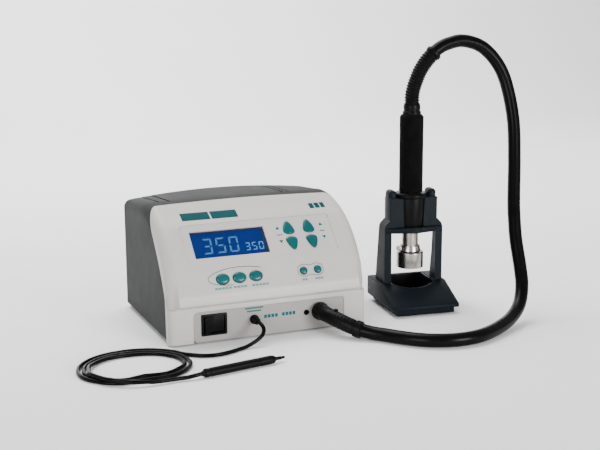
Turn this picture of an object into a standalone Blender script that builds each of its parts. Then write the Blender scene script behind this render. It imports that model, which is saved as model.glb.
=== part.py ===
"""Hot air rework station: control unit, hot air handle on its hose, free-standing stand and vacuum pen.

Bench frame while modelling: X to the right along the unit's front, Y to its back, Z up from the bench top,
with X = 0 at the middle of the unit and Y = 0 at its lower front panel. stand_on_origin() at the end moves
everything so that the model's own box, without the free hoses, stands centred on the origin.
"""

import math

import bmesh
import bpy
from mathutils import Euler, Matrix, Vector

MM = 0.001
GAP = 0.3 * MM  # between pieces that touch

# Control unit: driving sizes
WIDTH = 245 * MM
DEPTH = 194 * MM
FACE_RADIUS = 116.5 * MM  # the curved face, seen from the side
FACE_CENTRE_Y = 111.8 * MM
FACE_CENTRE_Z = 28.2 * MM
FACE_LOW_Z = 74 * MM  # where the curved face starts, above the brow
FACE_STEPS = 18
EDGE_STEPS = 6
BROW_Z = 50 * MM
BROW_OUT = 6 * MM
BROW_FOOT_Z = 41.5 * MM
CROWN = 8 * MM  # fall of the roof from the middle to the sides, at the back
FRONT_CROWN = 1.5 * MM  # the same at the top of the curved face
ROOF_LIFT = 2.2 * MM  # how far the roof stands above the face's own circle
ROOF_FALL = 7 * MM  # from the top of the face to the back
BROW_FADE = (10.8 * MM, 7.5 * MM)  # the brow dies out between these distances from the side
EDGE_POWER = 1.4  # 2 rounds the front edges, less makes them chamfers
WALL = 2.6 * MM
COVER_LIFT = 4.6 * MM  # the rear cover ends this far above the front moulding's lower edge
FRONT_EDGE_RADIUS = 7 * MM
FACE_EDGE_RADIUS = 11 * MM
ROOF_EDGE_RADIUS = 15 * MM
REAR_EDGE_RADIUS = 9 * MM
FOOT_RADIUS = 8 * MM
FOOT_DROP = 2 * MM  # the feet hold the unit this far off the bench
FOOT_INSET_X = 24 * MM
FOOT_INSET_Y = 24 * MM
TRAY_WALL = 1.5 * MM
TRAY_RIM = 16 * MM
REAR_FRAME = 12 * MM  # width of the cover's lip round the rear panel
GROOVE_X = (-101 * MM, -88 * MM, 58 * MM, 66 * MM)
GROOVE_WIDTH = 2.4 * MM
GROOVE_DEPTH = 1.2 * MM

# Control field: a flat pocket in the curved face, tilted back
FIELD_TILT = math.radians(45)
FIELD_DEPTH = 3 * MM
FIELD_LEFT = -93.5 * MM
FIELD_RIGHT = 92.5 * MM
FIELD_TOP = 26.2 * MM  # up the slope from the middle of the field
FIELD_BOTTOM = -28 * MM
LCD_WIDTH = 91.2 * MM
LCD_HEIGHT = 36.8 * MM
LCD_X = -38.3 * MM
LCD_UP = -1.7 * MM
WINDOW_THICK = 1.6 * MM
MODULE_THICK = 6 * MM
KEY_WIDTH = 13.4 * MM
KEY_HEIGHT = 18.5 * MM
KEY_SHAPE = ((0, -0.5), (0.42, -0.4), (0.515, -0.23), (0.39, 0.13), (0.18, 0.41), (0, 0.5))  # right half, as shares
KEY_X = (38 * MM, 63.5 * MM)
KEY_UP = 10.8 * MM
KEY_PROUD = 1.8 * MM
KEY_THICK = 5.2 * MM
FIT = 0.35 * MM  # clearance all round a key or button in its hole
BUTTON_TILT = math.radians(66)
BUTTON_Z = 71.7 * MM
OVAL_WIDTH = 16.2 * MM
OVAL_HEIGHT = 12.6 * MM
OVAL_X = (-56.9 * MM, -36.7 * MM, -16.5 * MM)
ROUND_DIAMETER = 9.2 * MM
ROUND_X = (43 * MM, 60.9 * MM)
BUTTON_PROUD = 2 * MM
BUTTON_THICK = 7 * MM
KEY_TRAVEL = 1 * MM

# Connector panel, let into the lower front
PANEL_HALF = 93.8 * MM
PANEL_TOP = 36.5 * MM
PANEL_THICK = 2 * MM
PANEL_CORNER = 5 * MM
SWITCH_X = -69.3 * MM
SWITCH_Z = 20.2 * MM
SWITCH_WIDTH = 30.6 * MM
SWITCH_HEIGHT = 25.4 * MM
SWITCH_RIM = 2.6 * MM
SWITCH_DEPTH = 20 * MM
ROCK_ANGLE = math.radians(8)
VACUUM_X = -20.6 * MM
VACUUM_Z = 20.6 * MM
VACUUM_NUT = 11 * MM
JACK_X = 45 * MM
JACK_Z = 21.2 * MM
JACK_DIAMETER = 6.6 * MM
JACK_BORE = 4 * MM
GLAND_X = 61 * MM
GLAND_Z = 22 * MM
GLAND_HOLE = 15 * MM

# Free hoses
HOSE_DIAMETER = 16 * MM
SLEEVE_DIAMETER = 18.6 * MM
VACUUM_HOSE_DIAMETER = 4.6 * MM
COIL_X = -175.5 * MM
COIL_Y = -54 * MM
COIL_OUTER = 59 * MM
COIL_INNER = 39 * MM
COIL_STRETCH = 1.1  # the coil lies as an oval, this much longer along the bench
COIL_HEIGHT = 9.4 * MM

# Inside the unit
TRANSFORMER_SIZE = (56 * MM, 50 * MM, 46 * MM)
TRANSFORMER_X = -68 * MM
TRANSFORMER_BACK = 48 * MM  # from its core to the unit's back
WINDING_PROUD = 8 * MM
AIR_PUMP_RADIUS = 34 * MM
AIR_PUMP_PLACE = (56 * MM, 118 * MM)
VACUUM_PUMP_PLACE = (-4 * MM, 120 * MM)
BOARD_FRONT = 30 * MM
VENTS = 5
VENT_PITCH = 9 * MM
VENT_HEIGHT = 3.4 * MM
VENT_LOW = 62 * MM

# Stand, in its own frame: Y = 0 at its front foot line
STAND_X = 205.5 * MM
STAND_Y = 0.8 * MM
STAND_TURN = math.radians(-6.3)
BASE_HALF = 43.5 * MM
BASE_LENGTH = 95 * MM
SKIRT_INSET = 6 * MM
SKIRT_HEIGHT = 7.5 * MM
BASE_FRONT_HEIGHT = 13 * MM
BASE_REAR_HEIGHT = 32 * MM
BASE_SLOPE_END = 45 * MM
PAD_DROP = 1.5 * MM
WELL_HALF = 29.2 * MM
WELL_FRONT = 33 * MM
WELL_REAR = 89 * MM
WELL_FLOOR = 9 * MM
CUP_WALL = 1.6 * MM
POST_INNER = 29.5 * MM
POST_OUTER = 38.5 * MM
POST_FRONT = 45 * MM
POST_BACK = (61 * MM, 55.5 * MM)  # at its foot and at its top
FIN_BACK = (78 * MM, 66.5 * MM)
FIN_THICK = 3 * MM
POST_TOP = 105 * MM
AXIS_Y = 57.5 * MM  # the handle's axis
SEAT_LOW = 96 * MM
CRADLE_LOW = 103.5 * MM
LEDGE_Z = 139 * MM
EAR_Z = 149 * MM
CRADLE_HALF = 31.4 * MM
CRADLE_BACK = 67 * MM

# Handle: radii, and heights above the bench while it hangs in the stand
NOZZLE_RADIUS = 16.5 * MM
NOZZLE_LOW = 49.5 * MM
NOZZLE_HEIGHT = 20.5 * MM
NOZZLE_WALL = 1.2 * MM
HEATER_RADIUS = 10 * MM
HEATER_WALL = 0.8 * MM
CLAMP_RADIUS = 11.8 * MM
CLAMP_HEIGHT = 8 * MM
SHROUD_LOW_RADIUS = 16.6 * MM
SHROUD_TOP_RADIUS = 18 * MM
SHROUD_LOW = 101 * MM
COLLAR_RADIUS = 20.4 * MM
COLLAR_HEIGHT = 5.5 * MM
SEAT_CLEARANCE = 0.6 * MM
SEAT_WALL = 3.4 * MM
GRIP_RADIUS = 14.8 * MM
GRIP_HEIGHT = 97 * MM
CORE_RADIUS = 9 * MM
CUFF_RADIUS = 11.4 * MM
CUFF_HEIGHT = 14 * MM
BOOT_RADIUS = 9.6 * MM
RING_RADIUS = 11 * MM
LUG_REACH = 6 * MM  # past the clamp ring
LUG_HALF = 2.6 * MM
CLAMP_SCREW_END = 6.5 * MM

# Vacuum pen, lying on the bench
PEN_TAIL = Vector((-120.6 * MM, -110.4 * MM))
PEN_ANGLE = math.radians(10)
PEN_LENGTH = 91 * MM
PEN_RADIUS = 4.9 * MM
NEEDLE_RADIUS = 2 * MM
NEEDLE_LENGTH = 11 * MM

# Routes of the free hoses, as centrelines on the bench
SLEEVE_ROUTE = [(61, -3, 24), (61.5, -12, 24), (65, -24, 22.4), (74, -38, 18), (86.5, -50, 12.2), (91.5, -54.5, 10.6)]
HOSE_GROUND = [(92, -55, 10.45), (97, -59.3, 9.4), (103, -65, 8.5), (113, -75.5, 8.1), (125, -91, 8.1),
               (141, -107, 8.1), (160, -118, 8.1), (183, -123, 8.1), (211, -119.5, 8.2), (246, -102, 9),
               (275, -83, 12.9), (296, -66.5, 23), (308, -52, 41), (312, -40, 63), (313.4, -27.5, 91),
               (316.4, -17.5, 116)]
HOSE_ARCH = [(316.5, -17.2, 116.7), (320.5, -8.5, 138), (329.5, 7, 185), (334.4, 20, 233), (329.8, 31, 277),
             (319.3, 37.5, 303.5), (300.5, 44, 323.6), (277, 50, 331.2), (259, 53.8, 328), (248.4, 55.8, 323.4),
             (243.3, 56.6, 319.5)]
BOOT_ROUTE = [(211.8, 57.95, 256.75), (211.9, 57.95, 266), (213.6, 58, 274), (217, 58.1, 283.5), (222.8, 58, 296),
              (231.2, 57.6, 307.8), (238, 57, 314.6)]
RING_ROUTE = [(238.3, 56.97, 314.88), (240.1, 56.85, 316.6), (242, 56.75, 318.3)]
VACUUM_LEAD = [(-20.6, -13.5, 22.6), (-19.6, -19, 22), (-18.6, -25.5, 18.2), (-22, -30.5, 12.4),
               (-31, -33, 7), (-42.5, -36, 3.2), (-55, -41, 2.5), (-70, -47, 2.5), (-84, -49.4, 2.5),
               (-97, -46.6, 2.5), (-106, -40.8, 2.5), (-110.9, -34.9, 2.7), (-113.9, -27.9, 3.2)]
VACUUM_TAIL = [(-152.2, -112.2, 2.9), (-146, -111, 2.9), (-138.5, -110.9, 3.3), (-130, -111.9, 4.4),
               (-121, -110.47, 4.9)]


# ---------------------------------------------------------------- helpers

def clear_scene():
    for old in list(bpy.data.objects):
        bpy.data.objects.remove(old)


def material(name, colour, roughness, metallic=0.0):
    made = bpy.data.materials.new(name)
    made.use_nodes = True
    shader = made.node_tree.nodes["Principled BSDF"]
    shader.inputs["Base Color"].default_value = (*colour, 1)
    shader.inputs["Roughness"].default_value = roughness
    shader.inputs["Metallic"].default_value = metallic
    made.diffuse_color = (*colour, 1)
    return made


def empty(name, location=(0, 0, 0), rotation=(0, 0, 0), parent=None):
    made = bpy.data.objects.new(name, None)
    bpy.context.scene.collection.objects.link(made)
    made.location = location
    made.rotation_euler = rotation
    made.parent = parent
    return made


def mesh_object(name, bm, look=None, parent=None, location=(0, 0, 0), rotation=(0, 0, 0)):
    """A new object from bm, shaded smooth with its sharp edges kept. Without a look it is a cutter."""
    bmesh.ops.recalc_face_normals(bm, faces=bm.faces)
    mesh = bpy.data.meshes.new(name)
    bm.to_mesh(mesh)
    bm.free()
    made = bpy.data.objects.new(name, mesh)
    bpy.context.scene.collection.objects.link(made)
    made.parent = parent
    made.location = location
    made.rotation_euler = rotation
    if look is None:
        made.hide_render = True
        made.display_type = "WIRE"
    else:
        mesh.materials.append(look)
        mesh.shade_smooth()
        mesh.set_sharp_from_angle(angle=math.radians(35))
    return made


def loft(rings):
    """A closed solid through rings of equal length, with flat ends."""
    bm = bmesh.new()
    rows = [[bm.verts.new(point) for point in ring] for ring in rings]
    for lower, upper in zip(rows, rows[1:]):
        for i, corner in enumerate(lower):
            j = (i + 1) % len(lower)
            bm.faces.new((corner, lower[j], upper[j], upper[i]))
    bm.faces.new(rows[0])
    bm.faces.new(rows[-1])
    return bm


def slab(outline, low, high, axis="Z"):
    """An outline of pairs, extruded from low to high along axis. The pairs are the other two axes in order."""
    def at(pair, height):
        a, b = pair
        return {"X": (height, a, b), "Y": (a, height, b), "Z": (a, b, height)}[axis]
    return loft([[at(pair, height) for pair in outline] for height in (low, high)])


def block(low, high, rounding=0.0, segments=2):
    """A box between two corners, with all its edges rounded if asked."""
    bm = bmesh.new()
    bmesh.ops.create_cube(bm, size=1)
    for vert in bm.verts:
        vert.co = Vector([low[i] + (vert.co[i] + 0.5) * (high[i] - low[i]) for i in range(3)])
    if rounding:
        bmesh.ops.bevel(bm, geom=bm.edges[:], offset=rounding, segments=segments, affect="EDGES", profile=0.5)
    return bm


def turned(profile, segments=32):
    """A solid of revolution about Z from (radius, height) pairs, a closed outline or one that ends on the axis."""
    bm = bmesh.new()
    rows = []
    for radius, height in profile:
        if radius <= 0:
            rows.append([bm.verts.new((0, 0, height))] * segments)
        else:
            angles = [2 * math.pi * i / segments for i in range(segments)]
            rows.append([bm.verts.new((radius * math.cos(a), radius * math.sin(a), height)) for a in angles])
    ends_on_axis = profile[0][0] <= 0 and profile[-1][0] <= 0
    pairs = list(zip(rows, rows[1:])) + ([] if ends_on_axis else [(rows[-1], rows[0])])
    for lower, upper in pairs:
        for i in range(segments):
            j = (i + 1) % segments
            corners = dict.fromkeys((lower[i], lower[j], upper[j], upper[i]))
            if len(corners) > 2:
                bm.faces.new(corners)
    return bm


def rounded(corners, radius, steps=4):
    """A polygon with each corner turned into an arc of the radius."""
    points = []
    count = len(corners)
    for i, corner in enumerate(corners):
        here = Vector(corner)
        before = (Vector(corners[i - 1]) - here).normalized()
        after = (Vector(corners[(i + 1) % count]) - here).normalized()
        half = before.angle(after) / 2
        reach = radius / math.tan(half)
        centre = here + (before + after).normalized() * (radius / math.sin(half))
        start = here + before * reach - centre
        sweep = start.angle_signed(here + after * reach - centre)
        for k in range(steps + 1):
            turn = Matrix.Rotation(-sweep * k / steps, 2)
            points.append(tuple(centre + turn @ start))
    return points


def oval(width, height, steps=28):
    angles = [2 * math.pi * i / steps for i in range(steps)]
    return [(width / 2 * math.cos(a), height / 2 * math.sin(a)) for a in angles]


def grown(outline, by):
    """A convex outline about the origin, moved out by a distance."""
    points = [Vector(p) for p in outline]
    moved = []
    for i, here in enumerate(points):
        along = (points[(i + 1) % len(points)] - points[i - 1]).normalized()
        moved.append(tuple(here + Vector((along.y, -along.x)) * by))
    return moved


def smooth_route(points, spacing):
    """Points a spacing apart on the smooth curve through a hand-chosen route in millimetres."""
    route = [Vector(p) * MM for p in points]
    padded = [2 * route[0] - route[1], *route, 2 * route[-1] - route[-2]]
    fine = []
    for a, b, c, d in zip(padded, padded[1:], padded[2:], padded[3:]):
        for k in range(16):
            t = k / 16
            fine.append(0.5 * (2 * b + (c - a) * t + (2 * a - 5 * b + 4 * c - d) * t * t
                               + (3 * b - a - 3 * c + d) * t ** 3))
    fine.append(route[-1])
    length = sum((q - p).length for p, q in zip(fine, fine[1:]))
    count = max(2, round(length / spacing))
    walked, spaced, target = 0.0, [fine[0]], length / count
    for p, q in zip(fine, fine[1:]):
        step = (q - p).length
        while walked + step >= target - 1e-9 and len(spaced) < count:
            spaced.append(p.lerp(q, (target - walked) / step))
            target += length / count
        walked += step
    return [*spaced, fine[-1]]


def tube(name, route, radius, look, parent, resolution=2, spacing=None):
    """A solid tube along a route: a bevelled curve with filled caps."""
    points = smooth_route(route, spacing or 4.5 * radius)
    curve = bpy.data.curves.new(name, "CURVE")
    curve.dimensions = "3D"
    curve.bevel_depth = radius
    curve.bevel_resolution = resolution
    curve.use_fill_caps = True
    spline = curve.splines.new("POLY")
    spline.points.add(len(points) - 1)
    for target, point in zip(spline.points, points):
        target.co = (*point, 1)
    made = bpy.data.objects.new(name, curve)
    bpy.context.scene.collection.objects.link(made)
    made.parent = parent
    curve.materials.append(look)
    return made


def combine(target, other, operation="DIFFERENCE"):
    """Cuts other from target, or unites the two; other becomes a hidden helper."""
    other.hide_render = True
    other.display_type = "WIRE"
    modifier = target.modifiers.new(other.name, "BOOLEAN")
    modifier.operation = operation
    modifier.solver = "EXACT"
    modifier.use_self = True
    modifier.object = other
    return target


# ---------------------------------------------------------------- the unit's envelope

def face_y(z):
    """Where the curved face is at a height."""
    return FACE_CENTRE_Y - math.sqrt(FACE_RADIUS ** 2 - (z - FACE_CENTRE_Z) ** 2)


ROOF_Z = FACE_CENTRE_Z + FACE_RADIUS + ROOF_LIFT


def roof_z(x, y):
    """The roof's height behind the curved face."""
    share = (y - FACE_CENTRE_Y) / (DEPTH - REAR_EDGE_RADIUS - FACE_CENTRE_Y)
    crown = FRONT_CROWN + (CROWN - FRONT_CROWN) * share
    return ROOF_Z - ROOF_FALL * share - crown * (2 * x / WIDTH) ** 2


def envelope_profile():
    """The unit's side outline from the front foot over the roof to the back, as (y, z, edge radius, edge power,
    crown, brow, inward direction)."""
    inward, outward = Vector((1, 0)), Vector((-1, 0))
    rise = BROW_Z - BROW_FOOT_Z
    brow = [(-0.1 * BROW_OUT, BROW_FOOT_Z + 0.17 * rise), (-0.58 * BROW_OUT, BROW_FOOT_Z + 0.47 * rise),
            (-0.94 * BROW_OUT, BROW_Z - 0.1 * BROW_OUT), (-BROW_OUT, BROW_Z + 0.2 * BROW_OUT),
            (-0.93 * BROW_OUT, BROW_Z + 0.5 * BROW_OUT)]
    points = [(0, 0, FRONT_EDGE_RADIUS, 2, 0, 0, inward), (0, BROW_FOOT_Z, FRONT_EDGE_RADIUS, 2, 0, 0, inward)]
    points += [(0, z, FACE_EDGE_RADIUS, EDGE_POWER, 0, y, inward) for y, z in brow]
    low = math.asin((FACE_LOW_Z - FACE_CENTRE_Z) / FACE_RADIUS)
    for k in range(FACE_STEPS + 1):
        share = k / FACE_STEPS
        angle = low + (math.pi / 2 - low) * share
        edge = FACE_EDGE_RADIUS + (ROOF_EDGE_RADIUS - FACE_EDGE_RADIUS) * share
        power = EDGE_POWER + (2 - EDGE_POWER) * share
        away = Vector((-math.cos(angle), math.sin(angle)))
        points.append((FACE_CENTRE_Y + FACE_RADIUS * away.x,
                       FACE_CENTRE_Z + FACE_RADIUS * away.y + ROOF_LIFT * share ** 2,
                       edge, power, FRONT_CROWN * share ** 2, 0, -away))
    for k in range(5):
        angle = math.pi / 2 * k / 4
        away = Vector((math.sin(angle), math.cos(angle)))
        corner = REAR_EDGE_RADIUS
        points.append((DEPTH - corner + corner * away.x, ROOF_Z - ROOF_FALL - corner + corner * away.y, 0.9 * corner,
                       2, CROWN, 0, -away))
    points += [(DEPTH, 0.5 * ROOF_Z, 0.9 * REAR_EDGE_RADIUS, 2, 0.3 * CROWN, 0, outward),
               (DEPTH, 0, 0.9 * REAR_EDGE_RADIUS, 2, 0, 0, outward)]
    return points


def envelope(name, inset=0.0, look=None, parent=None):
    """The unit's outer body, or what is left of it inside walls of thickness inset."""
    half = WIDTH / 2 - inset
    edges = [half - ROOF_EDGE_RADIUS * (1 - math.sin(math.pi / 2 * k / EDGE_STEPS)) for k in range(EDGE_STEPS + 1)]
    stations = [-x for x in reversed(edges)] + [0.5 * edges[0] * s for s in (-1, 0, 1)] + edges
    rings = []
    for x in stations:
        ring = []
        from_side = half - abs(x)
        fade = min(1.0, max(0.0, (from_side - BROW_FADE[1]) / (BROW_FADE[0] - BROW_FADE[1])))
        for y, z, radius, power, crown, brow, direction in envelope_profile():
            edge = max(radius - inset, inset)
            over = max(0.0, abs(x) - (half - edge))
            draw = inset + edge - max(0.0, edge ** power - over ** power) ** (1 / power)
            fall = crown * (2 * x / WIDTH) ** 2
            ring.append((x, y + brow * fade + direction.x * draw, z + direction.y * draw - fall))
        rings.append(ring)
    bm = loft(rings)
    bmesh.ops.triangulate(bm, faces=bm.faces[:])
    return mesh_object(name, bm, look, parent)


def seam_line(shift=0.0):
    """The curved seam between front moulding and cover, as (y, z) from the bottom up."""
    start, end = Vector((13 * MM, -20 * MM)), Vector((15 * MM, BROW_Z))
    first = end + Vector((3.1 * MM, 0.15 * (ROOF_Z - BROW_Z)))
    second = Vector((0.66 * FACE_CENTRE_Y, ROOF_Z + 9.8 * MM))
    finish = Vector((1.07 * FACE_CENTRE_Y, ROOF_Z + 1.5 * MM))
    points = [start]
    for k in range(13):
        t = k / 12
        points.append((1 - t) ** 3 * end + 3 * t * (1 - t) ** 2 * first + 3 * t * t * (1 - t) * second
                      + t ** 3 * finish)
    points.append(finish + Vector((0, 40 * MM)))
    return [(p.x + shift, p.y) for p in points]


def front_region(name, shift, parent):
    """Everything in front of the seam."""
    line = seam_line(shift)
    outline = [(-60 * MM, line[0][1]), *line, (-60 * MM, line[-1][1])]
    return mesh_object(name, slab(outline, -WIDTH, WIDTH, "X"), None, parent)


# ---------------------------------------------------------------- keys, buttons and their holes

def key_outline(upright):
    """A plump triangle with round corners and bulging sides, pointing up the slope or down it."""
    half = [Vector((x * KEY_WIDTH, y * KEY_HEIGHT)) for x, y in KEY_SHAPE]
    ring = half + [Vector((-p.x, p.y)) for p in reversed(half[1:-1])]
    sign = 1 if upright else -1
    outline = []
    for i, b in enumerate(ring):
        a, c, d = ring[i - 1], ring[(i + 1) % len(ring)], ring[(i + 2) % len(ring)]
        for k in range(3):
            t = k / 3
            point = 0.5 * (2 * b + (c - a) * t + (2 * a - 5 * b + 4 * c - d) * t * t
                           + (3 * b - a - 3 * c + d) * t ** 3)
            outline.append((sign * point.x, sign * point.y))
    return outline


def dome(outline, low, high, crown):
    """An outline raised from low to high, with its top rounded over by crown."""
    rings = [[(x, y, low) for x, y in outline]]
    for k in range(5):
        angle = math.pi / 2 * k / 5
        scale = 1 - 0.42 * (1 - math.cos(angle))
        rings.append([(x * scale, y * scale, high - crown * (1 - math.sin(angle))) for x, y in outline])
    return loft(rings)


def control_field(station):
    """The frame of the flat field: its X along the unit, its Y up the slope, its Z out of the face."""
    out = FACE_RADIUS - FIELD_DEPTH
    y = FACE_CENTRE_Y - out * math.sin(FIELD_TILT)
    z = FACE_CENTRE_Z + out * math.cos(FIELD_TILT)
    return empty("control_field", (0, y, z), (math.pi / 2 - FIELD_TILT, 0, 0), station)


def button_row(station):
    """The frame of the lower buttons, on the face's tangent."""
    return empty("button_row", (0, face_y(BUTTON_Z) - 1.5 * MM, BUTTON_Z), (BUTTON_TILT, 0, 0), station)


def field_controls():
    """Name, outline and place of each key in the field."""
    keys = []
    for side, x in zip(("heat", "air"), KEY_X):
        keys.append((f"key_{side}_up", key_outline(True), (x, KEY_UP)))
        keys.append((f"key_{side}_down", key_outline(False), (x, -KEY_UP)))
    return keys


def row_controls():
    """Name, outline and place of each button in the lower row."""
    ovals = [(f"button_{name}", oval(OVAL_WIDTH, OVAL_HEIGHT), (x, 0))
             for name, x in zip(("timer", "mode", "vacuum"), OVAL_X)]
    rounds = [(f"button_{name}", oval(ROUND_DIAMETER, ROUND_DIAMETER, 20), (x, 0))
              for name, x in zip(("set", "lock"), ROUND_X)]
    return ovals + rounds


def hole_cutter(name, controls, low, high, parent):
    """One helper that holds a prism for each control, a fit larger than it."""
    bm = bmesh.new()
    for _, outline, (x, y) in controls:
        part = slab([(px + x, py + y) for px, py in grown(outline, FIT)], low, high)
        mesh = bpy.data.meshes.new(name)
        bmesh.ops.recalc_face_normals(part, faces=part.faces)
        part.to_mesh(mesh)
        part.free()
        bm.from_mesh(mesh)
        bpy.data.meshes.remove(mesh)
    return mesh_object(name, bm, None, parent)


# ---------------------------------------------------------------- control unit

def build_shell(station, field, row, looks):
    """Front moulding, rear cover, rear panel, tray and feet."""
    bezel = envelope("front_bezel", 0, looks["bezel"], station)
    combine(bezel, front_region("front_region", -GAP / 2, station), "INTERSECT")
    inner = envelope("front_inside", WALL, None, station)
    inner.location.z = -0.5 * MM
    combine(bezel, inner)
    pocket = [(FIELD_LEFT, FIELD_BOTTOM), (FIELD_RIGHT, FIELD_BOTTOM), (FIELD_RIGHT, FIELD_TOP),
              (FIELD_LEFT, FIELD_TOP)]
    flat = math.sqrt(2 * FACE_RADIUS * FIELD_DEPTH) - 0.6 * MM  # how far up and down the pocket is below the face
    backing = slab(centred(0, 0, 1.02 * (FIELD_RIGHT - FIELD_LEFT), 2 * min(flat, FIELD_TOP)), -2.4 * MM, -0.05 * MM)
    combine(bezel, mesh_object("field_backing", backing, None, field), "UNION")
    combine(bezel, mesh_object("field_pocket", slab(rounded(pocket, 4 * MM), 0, 30 * MM), None, field))
    combine(bezel, hole_cutter("key_holes", field_controls(), -20 * MM, 20 * MM, field))
    opening = rounded(centred(LCD_X, LCD_UP, LCD_WIDTH, LCD_HEIGHT), 1 * MM, 2)
    combine(bezel, mesh_object("lcd_opening", slab(opening, -20 * MM, 20 * MM), None, field))
    combine(bezel, hole_cutter("button_holes", row_controls(), -12 * MM, 12 * MM, row))
    lower = [(-PANEL_HALF, -20 * MM), (PANEL_HALF, -20 * MM), (PANEL_HALF, PANEL_TOP),
             (-PANEL_HALF, PANEL_TOP)]
    combine(bezel, mesh_object("panel_opening", slab(rounded(lower, PANEL_CORNER), -10 * MM, 10 * MM, "Y"),
                               None, station))

    cover = envelope("rear_cover", 0, looks["cover"], station)
    combine(cover, front_region("rear_region", GAP / 2, station))
    inside = envelope("cover_inside", WALL, None, station)
    inside.location.z = -0.5 * MM
    combine(cover, inside)
    combine(cover, mesh_object("cover_foot", block((-WIDTH, -DEPTH, -50 * MM), (WIDTH, 2 * DEPTH, COVER_LIFT)),
                               None, station))
    combine(cover, mesh_object("rear_opening", slab(rear_outline(0), DEPTH - 20 * MM, DEPTH + 20 * MM, "Y"),
                               None, station))
    for k, x in enumerate(GROOVE_X):
        floor = [(y, roof_z(x, y) - GROOVE_DEPTH) for y in (FACE_CENTRE_Y - 50 * MM, DEPTH + 10 * MM)]
        groove = slab([*floor, (floor[1][0], ROOF_Z + 20 * MM), (floor[0][0], ROOF_Z + 20 * MM)],
                      x - GROOVE_WIDTH / 2, x + GROOVE_WIDTH / 2, "X")
        combine(cover, mesh_object(f"groove_{k}", groove, None, station))

    panel = mesh_object("rear_panel", slab(rear_outline(GAP), DEPTH - WALL - 1.5 * MM, DEPTH - 1.5 * MM, "Y"),
                        looks["tray"], station)
    combine(panel, mesh_object("inlet_hole", block(*inlet_box(GAP)), None, station))
    for k in range(VENTS):
        z = VENT_LOW + k * VENT_PITCH
        vent = rounded(centred(55 * MM, z + VENT_HEIGHT / 2, 70 * MM, VENT_HEIGHT), 0.47 * VENT_HEIGHT)
        combine(panel, mesh_object(f"vent_{k}", slab(vent, DEPTH - 20 * MM, DEPTH + 20 * MM, "Y"), None, station))

    half = WIDTH / 2 - WALL - GAP
    low, floor = COVER_LIFT - 2 * MM, COVER_LIFT - 2 * MM + TRAY_WALL
    ends = (16 * MM + WALL, DEPTH - WALL - 1.5 * MM - GAP)
    plan = rounded([(-half, ends[0]), (half, ends[0]), (half, ends[1]), (-half, ends[1])], REAR_EDGE_RADIUS)
    tray = mesh_object("base_tray", slab(plan, low, low + TRAY_RIM), looks["tray"], station)
    hollow = block((-half + TRAY_WALL, ends[0] - 20 * MM, floor), (half - TRAY_WALL, ends[1] + 20 * MM, 1))
    combine(tray, mesh_object("tray_hollow", hollow, None, station))
    for x in (-1, 1):
        for y, place in ((FOOT_INSET_Y, "front"), (DEPTH - FOOT_INSET_Y, "rear")):
            side = "left" if x < 0 else "right"
            profile = [(0, low - GAP), (FOOT_RADIUS, low - GAP), (FOOT_RADIUS, -0.6 * FOOT_DROP),
                       (FOOT_RADIUS - 1 * MM, -FOOT_DROP), (0, -FOOT_DROP)]
            mesh_object(f"foot_{place}_{side}", turned(profile, 24), looks["rubber"], station,
                        (x * (WIDTH / 2 - FOOT_INSET_X), y, 0))


def centred(x, y, width, height):
    return [(x - width / 2, y - height / 2), (x + width / 2, y - height / 2),
            (x + width / 2, y + height / 2), (x - width / 2, y + height / 2)]


def rear_outline(gap):
    """The rear opening, or the panel that fills it with a gap round it."""
    half = WIDTH / 2 - REAR_FRAME - gap
    high = ROOF_Z - ROOF_FALL - CROWN - REAR_FRAME - gap
    low = COVER_LIFT + gap
    return rounded([(-half, low), (half, low), (half, high), (-half, high)], 8 * MM)


def inlet_box(gap):
    """The mains inlet's body through the rear panel, as two corners."""
    return ((-84 * MM - gap, DEPTH - 30 * MM, 16 * MM - gap), (-56 * MM + gap, DEPTH + 20 * MM, 40 * MM + gap))


def build_display(field, looks):
    """Window, display module and the board that carries the switches."""
    fit = centred(LCD_X, LCD_UP, LCD_WIDTH - 2 * GAP, LCD_HEIGHT - 2 * GAP)
    mesh_object("lcd_window", slab(rounded(fit, 0.8 * MM, 2), -0.4 * MM - WINDOW_THICK, -0.4 * MM),
                looks["window"], field)
    module_top = -0.4 * MM - WINDOW_THICK - GAP
    mesh_object("lcd_module", slab(fit, module_top - MODULE_THICK, module_top), looks["lcd"], field)
    board_top = module_top - MODULE_THICK - GAP
    board = centred(0, -3 * MM, FIELD_RIGHT - FIELD_LEFT - 8 * MM, 44 * MM)
    mesh_object("display_board", slab(board, board_top - 1.6 * MM, board_top), looks["board"], field)


def build_keys(field, row, looks):
    """Four triangular keys in the field and five domed buttons below it."""
    for name, outline, place in field_controls():
        key = dome(outline, KEY_PROUD - KEY_THICK, KEY_PROUD, 1.1 * MM)
        mesh_object(name, key, looks["teal"], field, (*place, 0))
    for name, outline, place in row_controls():
        crown = 1.8 * MM if "set" not in name and "lock" not in name else 1.4 * MM
        button = dome(outline, BUTTON_PROUD - BUTTON_THICK, BUTTON_PROUD, crown)
        mesh_object(name, button, looks["teal"], row, (*place, 0))


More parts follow.
